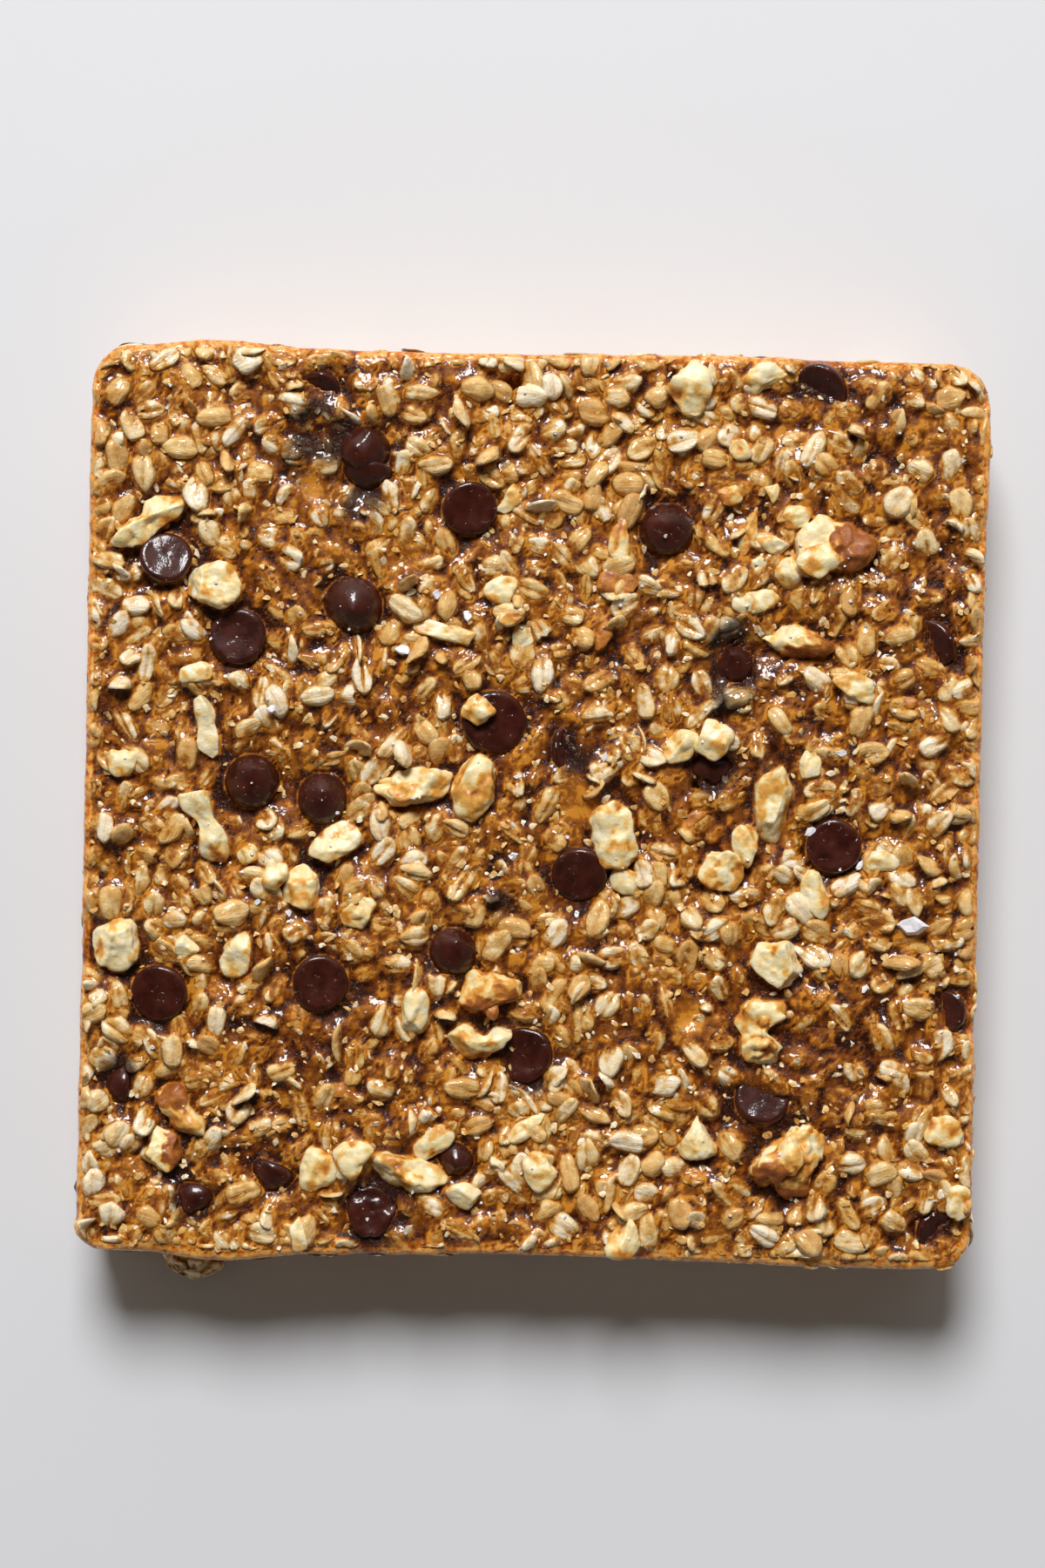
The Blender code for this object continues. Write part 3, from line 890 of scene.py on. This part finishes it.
def node_frame(node):
    """(middle, rotation about Z in radians, size) of a lump in the CAD model."""
    corners = np.array([vertex.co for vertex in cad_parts[node].data.vertices]) / MM
    flat = corners[:, :2] - corners[:, :2].mean(0)
    _, _, axes = np.linalg.svd(flat, full_matrices=False)
    across = math.atan2(axes[0][1], axes[0][0])
    turn = across if abs(across) <= math.pi / 2 else across - math.copysign(math.pi, across)
    spun = corners @ turned(-math.degrees(turn)).T
    size = spun.max(0) - spun.min(0)
    middle = turned(math.degrees(turn)) @ ((spun.max(0) + spun.min(0)) / 2)
    return middle, turn, size


def make_walnuts(bed, level):
    names = [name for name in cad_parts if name.startswith("walnut_")]
    ways, faces = ball(5)
    parts, browns = [], []
    for number, name in enumerate(names):
        middle, turn, size = node_frame(name)
        nut = NUTS.get(name, Nut())
        shape, brown = nut_shape(ways, size * WALNUT_GROWTH, nut, WALNUT_SEED + number)
        parts.append(shape @ turned(math.degrees(turn)).T + middle)
        browns.append(brown)
    points, faces = joined(np.stack(parts), faces)
    settle(bed, level, points, faces, WALNUT_KEPT_CLEAR)
    return names, points, faces, np.concatenate(browns)


# Smaller bits of walnut: x, y, length, width, degrees
WALNUT_BITS = (
    (18.6, 60.5, 11.0, 4.9, 79),
    (-8.2, 48.7, 7.5, 6.3, 0),
    (-20.6, 39.2, 13.8, 4.1, -11),
    (-5.8, 42.2, 6.1, 3.2, 10),
    (-3.0, 38.4, 5.5, 5.1, 50),
    (63.2, 56.6, 9.3, 7.3, 20),
    (43.2, 71.3, 5.3, 4.7, 0),
    (52.6, 71.9, 4.5, 3.6, 90),
    (58.4, 66.9, 6.7, 5.9, 30),
    (47.5, 62.5, 9.8, 3.8, 71),
    (53.1, 60.3, 7.1, 4.1, -14),
    (56.9, 54.2, 7.1, 6.1, 80),
    (49.4, 47.4, 10.2, 5.1, 5),
    (72.1, 28.8, 9.8, 6.0, -14),
    (-92.6, 8.4, 7.1, 6.7, 30),
    (-57.6, -16.4, 7.1, 5.5, 80),
    (-38.7, -24.9, 8.3, 7.1, 10),
    (-77.3, -33.4, 5.4, 5.1, 0),
    (32.8, 14.1, 9.8, 6.7, 26),
    (40.6, 15.9, 8.3, 7.5, 60),
    (62.8, 11.6, 7.9, 4.9, 80),
    (79.6, -10.5, 7.6, 4.5, 5),
    (64.1, -18.7, 11.0, 6.1, 111),
    (-25.4, -46.3, 10.2, 6.3, 75),
    (-20.8, -76.3, 9.8, 5.9, 36),
    (3.2, -82.3, 8.4, 7.9, 70),
    (-50.7, -97.5, 7.5, 3.4, 101),
    (-38.8, -80.5, 10.2, 4.7, 46),
    (-76.5, 28.7, 7.1, 4.8, 0),
    (0.4, -72.5, 9.8, 4.1, 36),
    (45.3, 81.8, 5.3, 5.0, 0),
    (-12.7, 21.7, 7.6, 6.9, 10),
    (21.4, -16.3, 7.3, 6.0, -40),
    (48.4, -7.8, 9.4, 6.0, 100),
    (-64.0, -12.2, 4.8, 4.6, 0),
    (22.8, -97.2, 9.2, 7.7, 80),
    (98.0, -87.1, 7.7, 5.5, 80),
    (94.4, -71.6, 8.3, 8.0, 40),
    (50.1, 98.0, 10.8, 6.5, 15),
    (33.4, 95.3, 11.8, 9.8, 70),
    (-46.9, -83.6, 9.5, 8.8, 60),
    (-38.1, -80.2, 8.8, 8.4, 20),
    (-13.7, -88.0, 7.7, 5.9, -10),
    (-6.4, 69.2, 7.5, 4.0, 50),
    (50.0, 56.1, 3.4, 3.0, 0),
    (47.7, 47.0, 3.4, 2.6, 60),
)
# Flakes of brown walnut skin: x, y, length, width, degrees
SKIN_FLAKES = (
    (-41.5, -65.3, 5.6, 3.8, 20),
    (18.2, 51.0, 9.0, 5.6, 8),
    (15.0, 38.5, 6.0, 3.2, 60),
    (84.0, 25.5, 5.2, 3.0, -20),
    (36.0, -2.5, 7.4, 3.0, 30),
    (-8.0, -46.0, 4.6, 3.0, 100),
)
SKIN_THICKNESS = 1.2


def make_bits(bed, look):
    """The smaller bits of walnut that lie on the oats."""
    ways, faces = ball(4)
    parts, browns = [], []
    for number, (x, y, length, width, degrees) in enumerate(WALNUT_BITS + SKIN_FLAKES):
        size = np.array([length, width, (0.3 + 0.08 * (number % 4)) * width + 0.6])
        taper = 0.3 * math.sin(2.1 * number)
        nut = Nut(breaks=5 + number % 4, taper=taper, patches=0.45, rough=1.2)
        is_skin = number >= len(WALNUT_BITS)
        if is_skin:
            size[2] = SKIN_THICKNESS
        shape, brown = nut_shape(ways, size * 1.06, nut, WALNUT_BIT_SEED + number)
        brown = np.maximum(brown, 0.85 * is_skin)
        shape = shape @ turned(degrees).T
        lift = rest_on(bed, shape, (x, y), 0.9)
        shape = shape + (x, y, lift)
        bed.stamp(shape)
        parts.append(shape)
        browns.append(brown)
    points, faces = joined(np.stack(parts), faces)
    brown = np.concatenate(browns)
    make_piece("walnut_bits", points, faces, look, "walnut", tone=brown, wet=0 * brown)


# ---------------------------------------------------------------- salt

# Big flakes of salt: x, y, length, width, degrees
SALT_FLAKES = (
    (86.0, -24.9, 7.6, 5.0, 10),
    (-59.2, 20.7, 2.6, 1.9, 30),
    (-54.8, -25.6, 2.6, 1.8, 70),
    (-61.6, -22.8, 2.2, 1.6, 10),
    (-30.0, 35.0, 4.0, 2.6, -10),
    (-22.6, 47.5, 2.8, 2.0, 60),
    (-15.6, 42.9, 3.2, 2.2, 100),
    (-4.0, -11.3, 3.0, 2.2, 40),
    (16.1, 11.6, 2.4, 1.6, 80),
    (-3.4, 6.8, 2.2, 1.6, 20),
    (69.5, 13.7, 3.2, 2.0, 20),
    (75.9, -39.5, 2.2, 1.4, 50),
    (74.0, -51.5, 2.4, 1.6, 0),
    (74.4, -11.6, 3.0, 1.6, 60),
    (63.0, -4.2, 3.0, 1.9, 30),
)
SALT_GRAINS = 260
FLAKE_SIDES = 6


def flake_faces(sides):
    """Triangles of a plate with a middle point on each side of it."""
    ring = np.arange(sides)
    after = (ring + 1) % sides
    low, high = np.full(sides, 2 * sides), np.full(sides, 2 * sides + 1)
    rows = [(after, ring, low), (ring + sides, after + sides, high)]
    rows += [(ring, after, after + sides), (ring, after + sides, ring + sides)]
    return np.concatenate([np.stack(row, axis=1) for row in rows])


def make_salt(bed, rng, look):
    """Thin, uneven flakes of salt, and many smaller grains."""
    sides = FLAKE_SIDES
    rows = [(*row, 0.1) for row in SALT_FLAKES]
    for _ in range(SALT_GRAINS):
        x, y = rounded_square(*(0.97 * rng.uniform(-1, 1, 2)), 1.0)
        size = rng.uniform(0.4, 1.1)
        width = size * rng.uniform(0.6, 1.0)
        rows.append((float(x), float(y), size, width, rng.uniform(0, 180), 0.3))
    parts = []
    for x, y, length, width, degrees, thick in rows:
        around = np.sort(rng.uniform(-0.35, 0.35, sides) + np.arange(sides)) * 2 * np.pi / sides
        ring = np.stack([np.cos(around), np.sin(around)], axis=1)
        ring *= rng.uniform(0.75, 1.15, (sides, 1))
        flat = np.concatenate([ring, ring * rng.uniform(0.7, 0.95), [[0, 0], [0, 0]]])
        height = np.repeat([-1.0, 1.0], sides).tolist() + [-1.0, 1.0]
        shape = np.column_stack([flat, height]) * (length / 2, width / 2, thick * width)
        shape[:, 2] += rng.normal(0, 0.05 * width, len(shape))
        shape = shape @ turned(degrees, *rng.normal(0, 0.25, 2)).T
        parts.append(shape + (x, y, rest_on(bed, shape, (x, y), 0.1)))
    points, faces = joined(np.stack(parts), flake_faces(sides))
    make_piece("salt_flakes", points, faces, look, "baked_oats", smooth=False)


# ---------------------------------------------------------------- the pieces of the top

TOP_LINES = 300  # lines of its mesh each way


def place_finder(bed, rng, inset, tries=10):
    """A function that picks the lowest of a few free places inside the outline."""

    def find():
        best, lowest = None, 1e9
        for _ in range(tries):
            x, y = rounded_square(*rng.uniform(-1, 1, 2), inset)
            place = np.array([float(x), float(y)])
            if bed.read(bed.taken, place) or near_any(x, y, POOLS) > rng.random():
                continue
            here = bed.read(bed.height, place + rng.normal(0, 1.2, (5, 2))).mean()
            if here < lowest:
                best, lowest = place, here
        return best if best is not None else find()

    return find


def wetness(above):
    """1 for a point at the syrup's surface or under it and 0 for one well above it."""
    return 1 - step_between(above, -0.35, 0.95)


LEAST_SHOWING = 0.12  # an oat that stands out of the syrup by less than this is left out
GROOVE_SHADE = 0.45


def make_oat_piece(name, oats, world, above, look, soaking=1.0):
    """A piece of the oats that stand out of the syrup somewhere; the others are left out."""
    _, groove, grain = oats.mesh_points()
    shown = above[:, :-1].max(axis=1) > LEAST_SHOWING
    points, faces = joined(world[shown], leaf_faces(len(OAT_ACROSS), len(OAT_ALONG)))
    tone = np.broadcast_to(oats.tone, groove.shape)[shown].ravel()
    wet = soaking * wetness(above[shown]).ravel()
    shades = {"tone": tone, "wet": wet, "smear": smear_at(points)}
    shades["groove"] = GROOVE_SHADE * groove[shown].ravel()
    shades["grain"] = grain[shown].reshape(-1, 3)
    make_piece(name, points, faces, look, "baked_oats", **shades)


def lay_top_oats(bed, rng):
    """Lays every kind of oat on the top, from the deepest kind to the highest."""
    # For each kind: its name, its oats, how far they stay inside the outline, how much they lean,
    # how many lie on edge and how deep they sink into what is under them
    kinds = (
        ("rolled_oats_buried", Oats(1400, rng, 7.6, 5.0), 1.2, 0.10, 0.05, 0.6),
        ("broken_oats", Oats(800, rng, 4.6, 3.5, broken=0.6), 0.8, 0.3, 0.15, 0.4),
        ("rolled_oats_smooth", Oats(1000, rng, 7.2, 4.8, 0.12, creased=0.0), 1.0, 0.14, 0.06, 0.6),
        ("rolled_oats_creased", Oats(1100, rng, 7.6, 5.0, 0.06, creased=1.0), 1.0, 0.14, 0.05, 0.6),
    )
    laid_oats = []
    for name, oats, inset, leaning, on_edge, sink in kinds:
        find = place_finder(bed, rng, inset)
        laid_oats.append((name, oats, lay_oats(bed, oats, find, rng, leaning, on_edge, sink)))
    return laid_oats


def make_top_oats(laid_oats, bed, syrup, look):
    for name, oats, (turns, places) in laid_oats:
        local, _, _ = oats.mesh_points()
        world = press_to_wall(laid(local, turns, places))
        above = world[..., 2] - bed.read(syrup, world)
        make_oat_piece(name, oats, world, above, look)


CRUMBS = 2600


def make_crumbs(bed, syrup, rng, look):
    """Crumbs and slivers of oats, half sunk in the syrup and stuck on the oats."""
    shape, faces = ball(1)
    sizes = rng.uniform(0.35, 1.0, (CRUMBS, 1, 1)) * (1.5, 1.0, 0.4)
    shapes = shape * sizes * rng.uniform(0.55, 1.35, (CRUMBS, len(shape), 1))
    parts = []
    for crumb in shapes:
        x, y = rounded_square(*(0.985 * rng.uniform(-1, 1, 2)), 0.6)
        place = np.array([float(x), float(y)])
        crumb = crumb @ turned(rng.uniform(0, 360), *rng.normal(0, 0.5, 2)).T
        ground = max(bed.read(bed.height, place), bed.read(syrup, place))
        if bed.read(bed.taken, place) or ground > bed.read(syrup, place) + 0.5:
            continue
        parts.append(crumb + (*place, ground))
    points, faces = joined(np.stack(parts), faces)
    tone = np.repeat(rng.uniform(0, 1, len(parts)), len(shape))
    wet = np.repeat(rng.uniform(0, 0.6, len(parts)), len(shape))
    shades = {"tone": tone, "wet": wet, "smear": smear_at(points)}
    shades |= {"groove": np.zeros(len(points)), "grain": points}
    make_piece("oat_crumbs", points, faces, look, "baked_oats", smooth=False, **shades)


def make_walnut_piece(walnuts, bed, syrup, look):
    names, points, faces, brown = walnuts
    wet = wetness(points[:, 2] - bed.read(syrup, points))
    make_piece("walnut_pieces", points, faces, look, "walnut", names, tone=brown, wet=wet)


def thinness(bed, syrup, flat):
    """1 where an oat is just under the syrup and 0 where the syrup is deep."""
    depth = bed.read(syrup, flat) - bed.read(bed.height, flat)
    pools = near_any(flat[:, 0], flat[:, 1], POOLS)
    return np.clip(np.maximum(np.exp(-np.maximum(depth, 0) / 0.5), 0.95 * pools), 0, 1)


def make_top(bed, syrup, look):
    """The syrup between the oats on the slab's top, out to where its rim turns down."""
    lines = np.linspace(-1, 1, TOP_LINES)
    u, v = np.meshgrid(lines, lines)
    x, y = rounded_square(u, v, RIM_ROUNDING)
    flat = np.stack([x, y], axis=-1).reshape(-1, 2)
    level = bed.read(syrup, flat)
    points = np.column_stack([flat, level + 0.05 * noise(flat, 1.2, 5)])
    past_crust = depth_inside(*flat.T) - crust_width(*flat.T)
    shades = {"thin": thinness(bed, syrup, flat), "smear": smear_at(points)}
    shades["crust"] = 1 - step_between(past_crust, 0.0, 1.6)
    faces = grid_faces(TOP_LINES, TOP_LINES)
    make_piece("syrup", points, faces, look, "baked_oats", ("slab",), **shades)


# ---------------------------------------------------------------- the sides and the foot

WALL_ROWS = 30
RIM_ROWS = 6
RIM_LUMPS = 0.42
SMEARED_ABOVE = 22.0  # melted chocolate shows on the sides only above this height


class Wall:
    """The slab's side, as a strip: how far round it is, and how high."""

    def __init__(self, lines):
        ends = np.full(lines - 1, 1.0)
        forth = np.linspace(-1, 1, lines)[:-1]
        self.u = np.concatenate([forth, ends, -forth, -ends])
        self.v = np.concatenate([-ends, forth, ends, -forth])
        self.x, self.y = rounded_square(self.u, self.v, 0.0)
        steps = np.hypot(np.roll(self.x, -1) - self.x, np.roll(self.y, -1) - self.y)
        self.round = np.concatenate([[0.0], np.cumsum(steps)[:-1]])
        self.length = steps.sum()
        along_x = np.roll(self.x, -2) - np.roll(self.x, 2)
        along_y = np.roll(self.y, -2) - np.roll(self.y, 2)
        size = np.hypot(along_x, along_y)
        self.out_x, self.out_y = along_y / size, -along_x / size

    def place(self, strip):
        """Points of the strip (way round, height, out of the wall) in their real places."""
        around = strip[..., 0] % self.length
        picked = [
            np.interp(around, self.round, values, period=self.length)
            for values in (self.x, self.y, self.out_x, self.out_y)
        ]
        x, y, out_x, out_y = picked
        side_height = THICKNESS - RIM_ROUNDING
        inset = DRAFT * (1 - np.clip(strip[..., 1] / side_height, 0, 1))
        inset = inset + np.maximum(FOOT_CHAMFER - strip[..., 1], 0)
        out = strip[..., 2] - inset
        return np.stack([x + out * out_x, y + out * out_y, strip[..., 1]], axis=-1)


def make_sides(bed, syrup, wall, side_bed, side_syrup, look):
    """The rim where the top turns down, and the browned sides down to the foot."""
    rows, thin = [], []
    inner = np.stack(rounded_square(wall.u, wall.v, RIM_ROUNDING), axis=-1)
    inner_height = bed.read(syrup, inner)
    for turn in np.linspace(0, np.pi / 2, RIM_ROWS + 1)[:-1]:
        x, y = rounded_square(wall.u, wall.v, RIM_ROUNDING * (1 - math.sin(turn)))
        flat = np.stack([x, y], axis=-1)
        height = inner_height - RIM_ROUNDING * (1 - math.cos(turn))
        lumps = RIM_LUMPS * rough_noise(flat, 2.0, 12) * math.sin(turn)
        rows.append(np.column_stack([flat, height + lumps]))
        # The rim is painted lighter than the syrup's depth makes it: painted light on a rim partly
        # in shade.
        thin.append(np.minimum(thinness(bed, syrup, flat) + 0.3, 1))
    top = inner_height - RIM_ROUNDING
    for part in np.linspace(1, 0, WALL_ROWS):
        strip = np.stack([wall.round, part * top, np.zeros(len(top))], axis=-1)
        strip[:, 2] = side_bed.read(side_syrup, strip) * step_between(part, 0.0, 0.04)
        strip[:, 2] *= 1 - 0.8 * step_between(part, 0.93, 1.0)
        depth = side_bed.read(side_syrup, strip) - side_bed.read(side_bed.height, strip)
        rows.append(wall.place(strip))
        thin.append(0.8 * np.clip(1 - depth, 0, 1))
    points = np.concatenate(rows)
    faces = grid_faces(len(rows), len(wall.u), wrapped=True)[:, ::-1]
    shades = {"thin": np.concatenate(thin), "crust": np.ones(len(points))}
    shades["smear"] = smear_at(points) * (points[:, 2] > SMEARED_ABOVE)
    make_piece("crust", points, faces, look, "baked_oats", **shades)
    ring = np.arange(len(wall.u))
    fan = np.stack([np.roll(ring, -1), ring, np.full(len(ring), len(ring))], axis=1)
    foot = np.concatenate([rows[-1], [[0.0, 0.0, 0.0]]])
    even = np.ones(len(foot))
    make_piece("foot", foot, fan, look, "baked_oats", thin=0.3 * even, crust=even, smear=0 * even)


SIDE_OATS = 1100
SIDE_LOWEST = -1.5  # oats lower or higher than this, from the wall, don't shape the crust
SIDE_HIGHEST = 0.15
SIDE_BED_DEPTH = 1.2  # the lowest side oats that show lie this far inside the wall
SIDE_SOFTNESS = 1.2  # how widely the crust evens out what lies in it, in mm
SIDE_FINENESS = 1.2  # how finely it also follows single oats, in cells of the bed
SIDE_COVER = 0.1  # how far the crust stands above the evened-out oats
SIDE_PRESSED = 0.3  # the thickness that the pan left of what stood out of the sides
LOWEST_ON_SIDE = 0.5  # where the middle of a side oat may be, above the foot and under the rim
HIGHEST_ON_SIDE = THICKNESS - 3.5
CLEAR_OF_FOOT = 0.8  # oats that reach lower than this are left out


def make_browned_sides(bed, syrup, rng, looks):
    """The crust round the slab and under it, and the oats pressed flat into its sides."""
    wall = Wall(TOP_LINES)
    side_bed = Bed((0, -1), (wall.length, THICKNESS), BED_CELL, wraps=True)
    side_bed.height = side_bed.height - SIDE_BED_DEPTH
    side_oats = Oats(SIDE_OATS, rng, broken=0.3)

    def on_side():
        around = rng.uniform(0, wall.length)
        return np.array([around, rng.uniform(LOWEST_ON_SIDE, HIGHEST_ON_SIDE)])

    turns, places = lay_oats(side_bed, side_oats, on_side, rng, 0.12, 0.04, 0.9)
    side_bed.height = np.clip(side_bed.height, SIDE_LOWEST, SIDE_HIGHEST)
    wide = blurred(side_bed.height, SIDE_SOFTNESS / BED_CELL)
    side_syrup = 0.6 * wide + 0.4 * blurred(side_bed.height, SIDE_FINENESS)
    make_sides(bed, syrup, wall, side_bed, side_syrup + SIDE_COVER, looks["syrup"])
    local, _, _ = side_oats.mesh_points()
    strip = laid(local, turns, places)
    standing = np.maximum(strip[..., 2] - SIDE_COVER, 0)
    strip[..., 2] += SIDE_PRESSED * np.log1p(standing / SIDE_PRESSED) - standing
    above = strip[..., 2] - side_bed.read(side_syrup, strip) - SIDE_COVER
    above[strip[..., 1].min(axis=1) < CLEAR_OF_FOOT] = -1
    make_oat_piece("side_oats", side_oats, wall.place(strip), above, looks["oats"], 0.7)


# ---------------------------------------------------------------- the clump on the front side

CLUMP_AT = np.array([-76.0, -104.4, 5.4])
CLUMP_SIZE = np.array([17.0, 13.5, 8.4])
CLUMP_CORE = 0.42  # parts of its size from its middle to its core's surface and to its oats
CLUMP_OATS_AT = 0.46
CLUMP_OATS = 34


def make_clump(looks):
    """The clump of oats that sticks out low on the front side."""
    rng = np.random.default_rng(19)
    ways, faces = ball(4)
    points = ways * CLUMP_SIZE * CLUMP_CORE + CLUMP_AT
    points += ways * 0.7 * rough_noise(points, 3.0, 52)[:, None]
    points[:, 2] = np.maximum(points[:, 2], 0.2)
    even = np.ones(len(points))
    # The core is kept light in the crust's colours: partly its golden colour, partly painted light
    # against the slab's shadow.
    thin = np.clip(0.5 + 0.6 * noise(points, 2.0, 53), 0, 1)
    shades = {"thin": thin, "crust": even, "smear": 0 * even}
    make_piece("clump", points, faces, looks["syrup"], "baked_oats", **shades)
    oats = Oats(CLUMP_OATS, rng, 6.4, 4.4, broken=0.4)
    oats.tone = 0.3 + 0.5 * oats.tone
    local, _, _ = oats.mesh_points()
    out = rng.normal(0, 1, (CLUMP_OATS, 3)) * (1.0, 0.8, 0.8) + (0, -1.0, 0.6)
    out /= np.linalg.norm(out, axis=1, keepdims=True)
    along = np.cross(out, rng.normal(0, 1, (CLUMP_OATS, 3)))
    along /= np.linalg.norm(along, axis=1, keepdims=True)
    turns = np.stack([along, np.cross(out, along), out], axis=2)
    world = laid(local, turns, CLUMP_AT + out * CLUMP_SIZE * CLUMP_OATS_AT)
    world[..., 2] = np.maximum(world[..., 2], 0.15)
    above = (local[..., 2] + 0.3 * rng.uniform(-1, 1, (CLUMP_OATS, 1))) * 0.9
    make_oat_piece("clump_oats", oats, world, above, looks["oats"])


# ---------------------------------------------------------------- everything together

SEED = 7


def main():
    rng = np.random.default_rng(SEED)
    looks = {
        "oats": make_oat_look(),
        "syrup": make_syrup_look(),
        "chocolate": make_chocolate_look(),
        "walnut": make_walnut_look(),
        "salt": make_salt_look(),
    }
    half_x, half_y = SIZE_X / 2 + BED_MARGIN, SIZE_Y / 2 + BED_MARGIN
    bed = Bed((-half_x, -half_y), (half_x, half_y), BED_CELL)
    level = top_height(bed.x, bed.y) - rim_drop(bed.x, bed.y)
    bed.height = level - OAT_BED_DEPTH
    make_chips(bed, level, looks["chocolate"])
    walnuts = make_walnuts(bed, level)
    bed.taken |= near_any(bed.x, bed.y, HOLES) > 0.5
    laid_oats = lay_top_oats(bed, rng)
    syrup = fill_with_syrup(bed, level)
    make_top_oats(laid_oats, bed, syrup, looks["oats"])
    make_walnut_piece(walnuts, bed, syrup, looks["walnut"])
    make_crumbs(bed, syrup, rng, looks["oats"])
    make_bits(bed, looks["walnut"])
    make_salt(bed, rng, looks["salt"])
    make_top(bed, syrup, looks["syrup"])
    make_clump(looks)
    make_browned_sides(bed, syrup, rng, looks)


# ---------------------------------------------------------------- floor, light and camera

FLOOR_REACH = 3.0
FLOOR_GAP = 0.0005  # keeps the floor just clear of the slab's foot
ROOM_COLOR = (1.0, 0.9, 0.8, 1.0)
# How bright the room is round the sides, straight above and at the back, by the window
WALL_LIGHT = 0.2
CEILING_LIGHT = 0.02
BACK_LIGHT = 0.55
WINDOW_PLACE = (-0.25, 1.9, 2.1)
WINDOW_SIZE = 1.2
WINDOW_POWER = 84.0
WINDOW_COLOR = (1.0, 0.985, 1.0)
LENS = 70.0
SENSOR = 36.0
FRAME_HEIGHT = 0.3546  # what the photo's long side spans at the height of the slab's top
CAMERA_X = -0.0023
CAMERA_Y = 0.0051
CAMERA_TURN = 1.25


def make_floor():
    mesh = bpy.data.meshes.new("floor")
    corners = [(-1, -1, 0), (1, -1, 0), (1, 1, 0), (-1, 1, 0)]
    mesh.from_pydata([FLOOR_REACH * Vector(corner) for corner in corners], [], [(0, 1, 2, 3)])
    floor = bpy.data.objects.new("floor", mesh)
    bpy.context.collection.objects.link(floor)
    floor.location.z = -FLOOR_GAP
    paper = Look("floor", Roughness=0.7)
    speckle = paper.noise(paper.position(), 3.0, 2.0)
    tones = paper.ramp(speckle, (0.0, srgb(228, 231, 234)), (1.0, srgb(234, 237, 240)))
    paper.use(Base_Color=tones)
    mesh.materials.append(paper.material)


def make_room():
    """Soft light: dim straight above, brighter round the sides and brightest at the back."""
    world = bpy.data.worlds.new("studio")
    world.use_nodes = True
    tree = world.node_tree
    background = tree.nodes["Background"]
    background.inputs["Color"].default_value = ROOM_COLOR
    way = tree.nodes.new("ShaderNodeTexCoord")
    parts = tree.nodes.new("ShaderNodeSeparateXYZ")
    tree.links.new(way.outputs["Generated"], parts.inputs["Vector"])
    total = tree.nodes.new("ShaderNodeMath")
    walls = (("Z", 0.25, 0.95, WALL_LIGHT, CEILING_LIGHT), ("Y", 0.45, 0.95, 0.0, BACK_LIGHT))
    for number, (axis, *limits) in enumerate(walls):
        wall = tree.nodes.new("ShaderNodeMapRange")
        for name, limit in zip(("From Min", "From Max", "To Min", "To Max"), limits):
            wall.inputs[name].default_value = limit
        tree.links.new(parts.outputs[axis], wall.inputs["Value"])
        tree.links.new(wall.outputs["Result"], total.inputs[number])
    tree.links.new(total.outputs["Value"], background.inputs["Strength"])
    bpy.context.scene.world = world


def make_window():
    """A round light behind the slab, turned towards it."""
    data = bpy.data.lights.new("window", "AREA")
    data.shape = "DISK"
    data.size = WINDOW_SIZE
    data.energy = WINDOW_POWER
    data.color = WINDOW_COLOR
    window = bpy.data.objects.new("window", data)
    bpy.context.collection.objects.link(window)
    window.location = WINDOW_PLACE
    window.rotation_euler = (-Vector(WINDOW_PLACE)).to_track_quat("-Z", "Y").to_euler()


def make_camera():
    """The camera looks straight down, as the photo does."""
    data = bpy.data.cameras.new("camera")
    data.lens = LENS
    data.sensor_width = SENSOR
    data.clip_start, data.clip_end = 0.01, 20.0
    camera = bpy.data.objects.new("camera", data)
    bpy.context.collection.objects.link(camera)
    distance = FRAME_HEIGHT * data.lens / data.sensor_width
    camera.location = (CAMERA_X, CAMERA_Y, THICKNESS * MM + distance)
    camera.rotation_euler = (0.0, 0.0, math.radians(CAMERA_TURN))
    bpy.context.scene.camera = camera


def make_stage():
    """A pale floor, soft studio light and the camera."""
    make_floor()
    make_room()
    make_window()
    make_camera()
    bpy.context.scene.view_settings.view_transform = "Standard"


main()
make_stage()
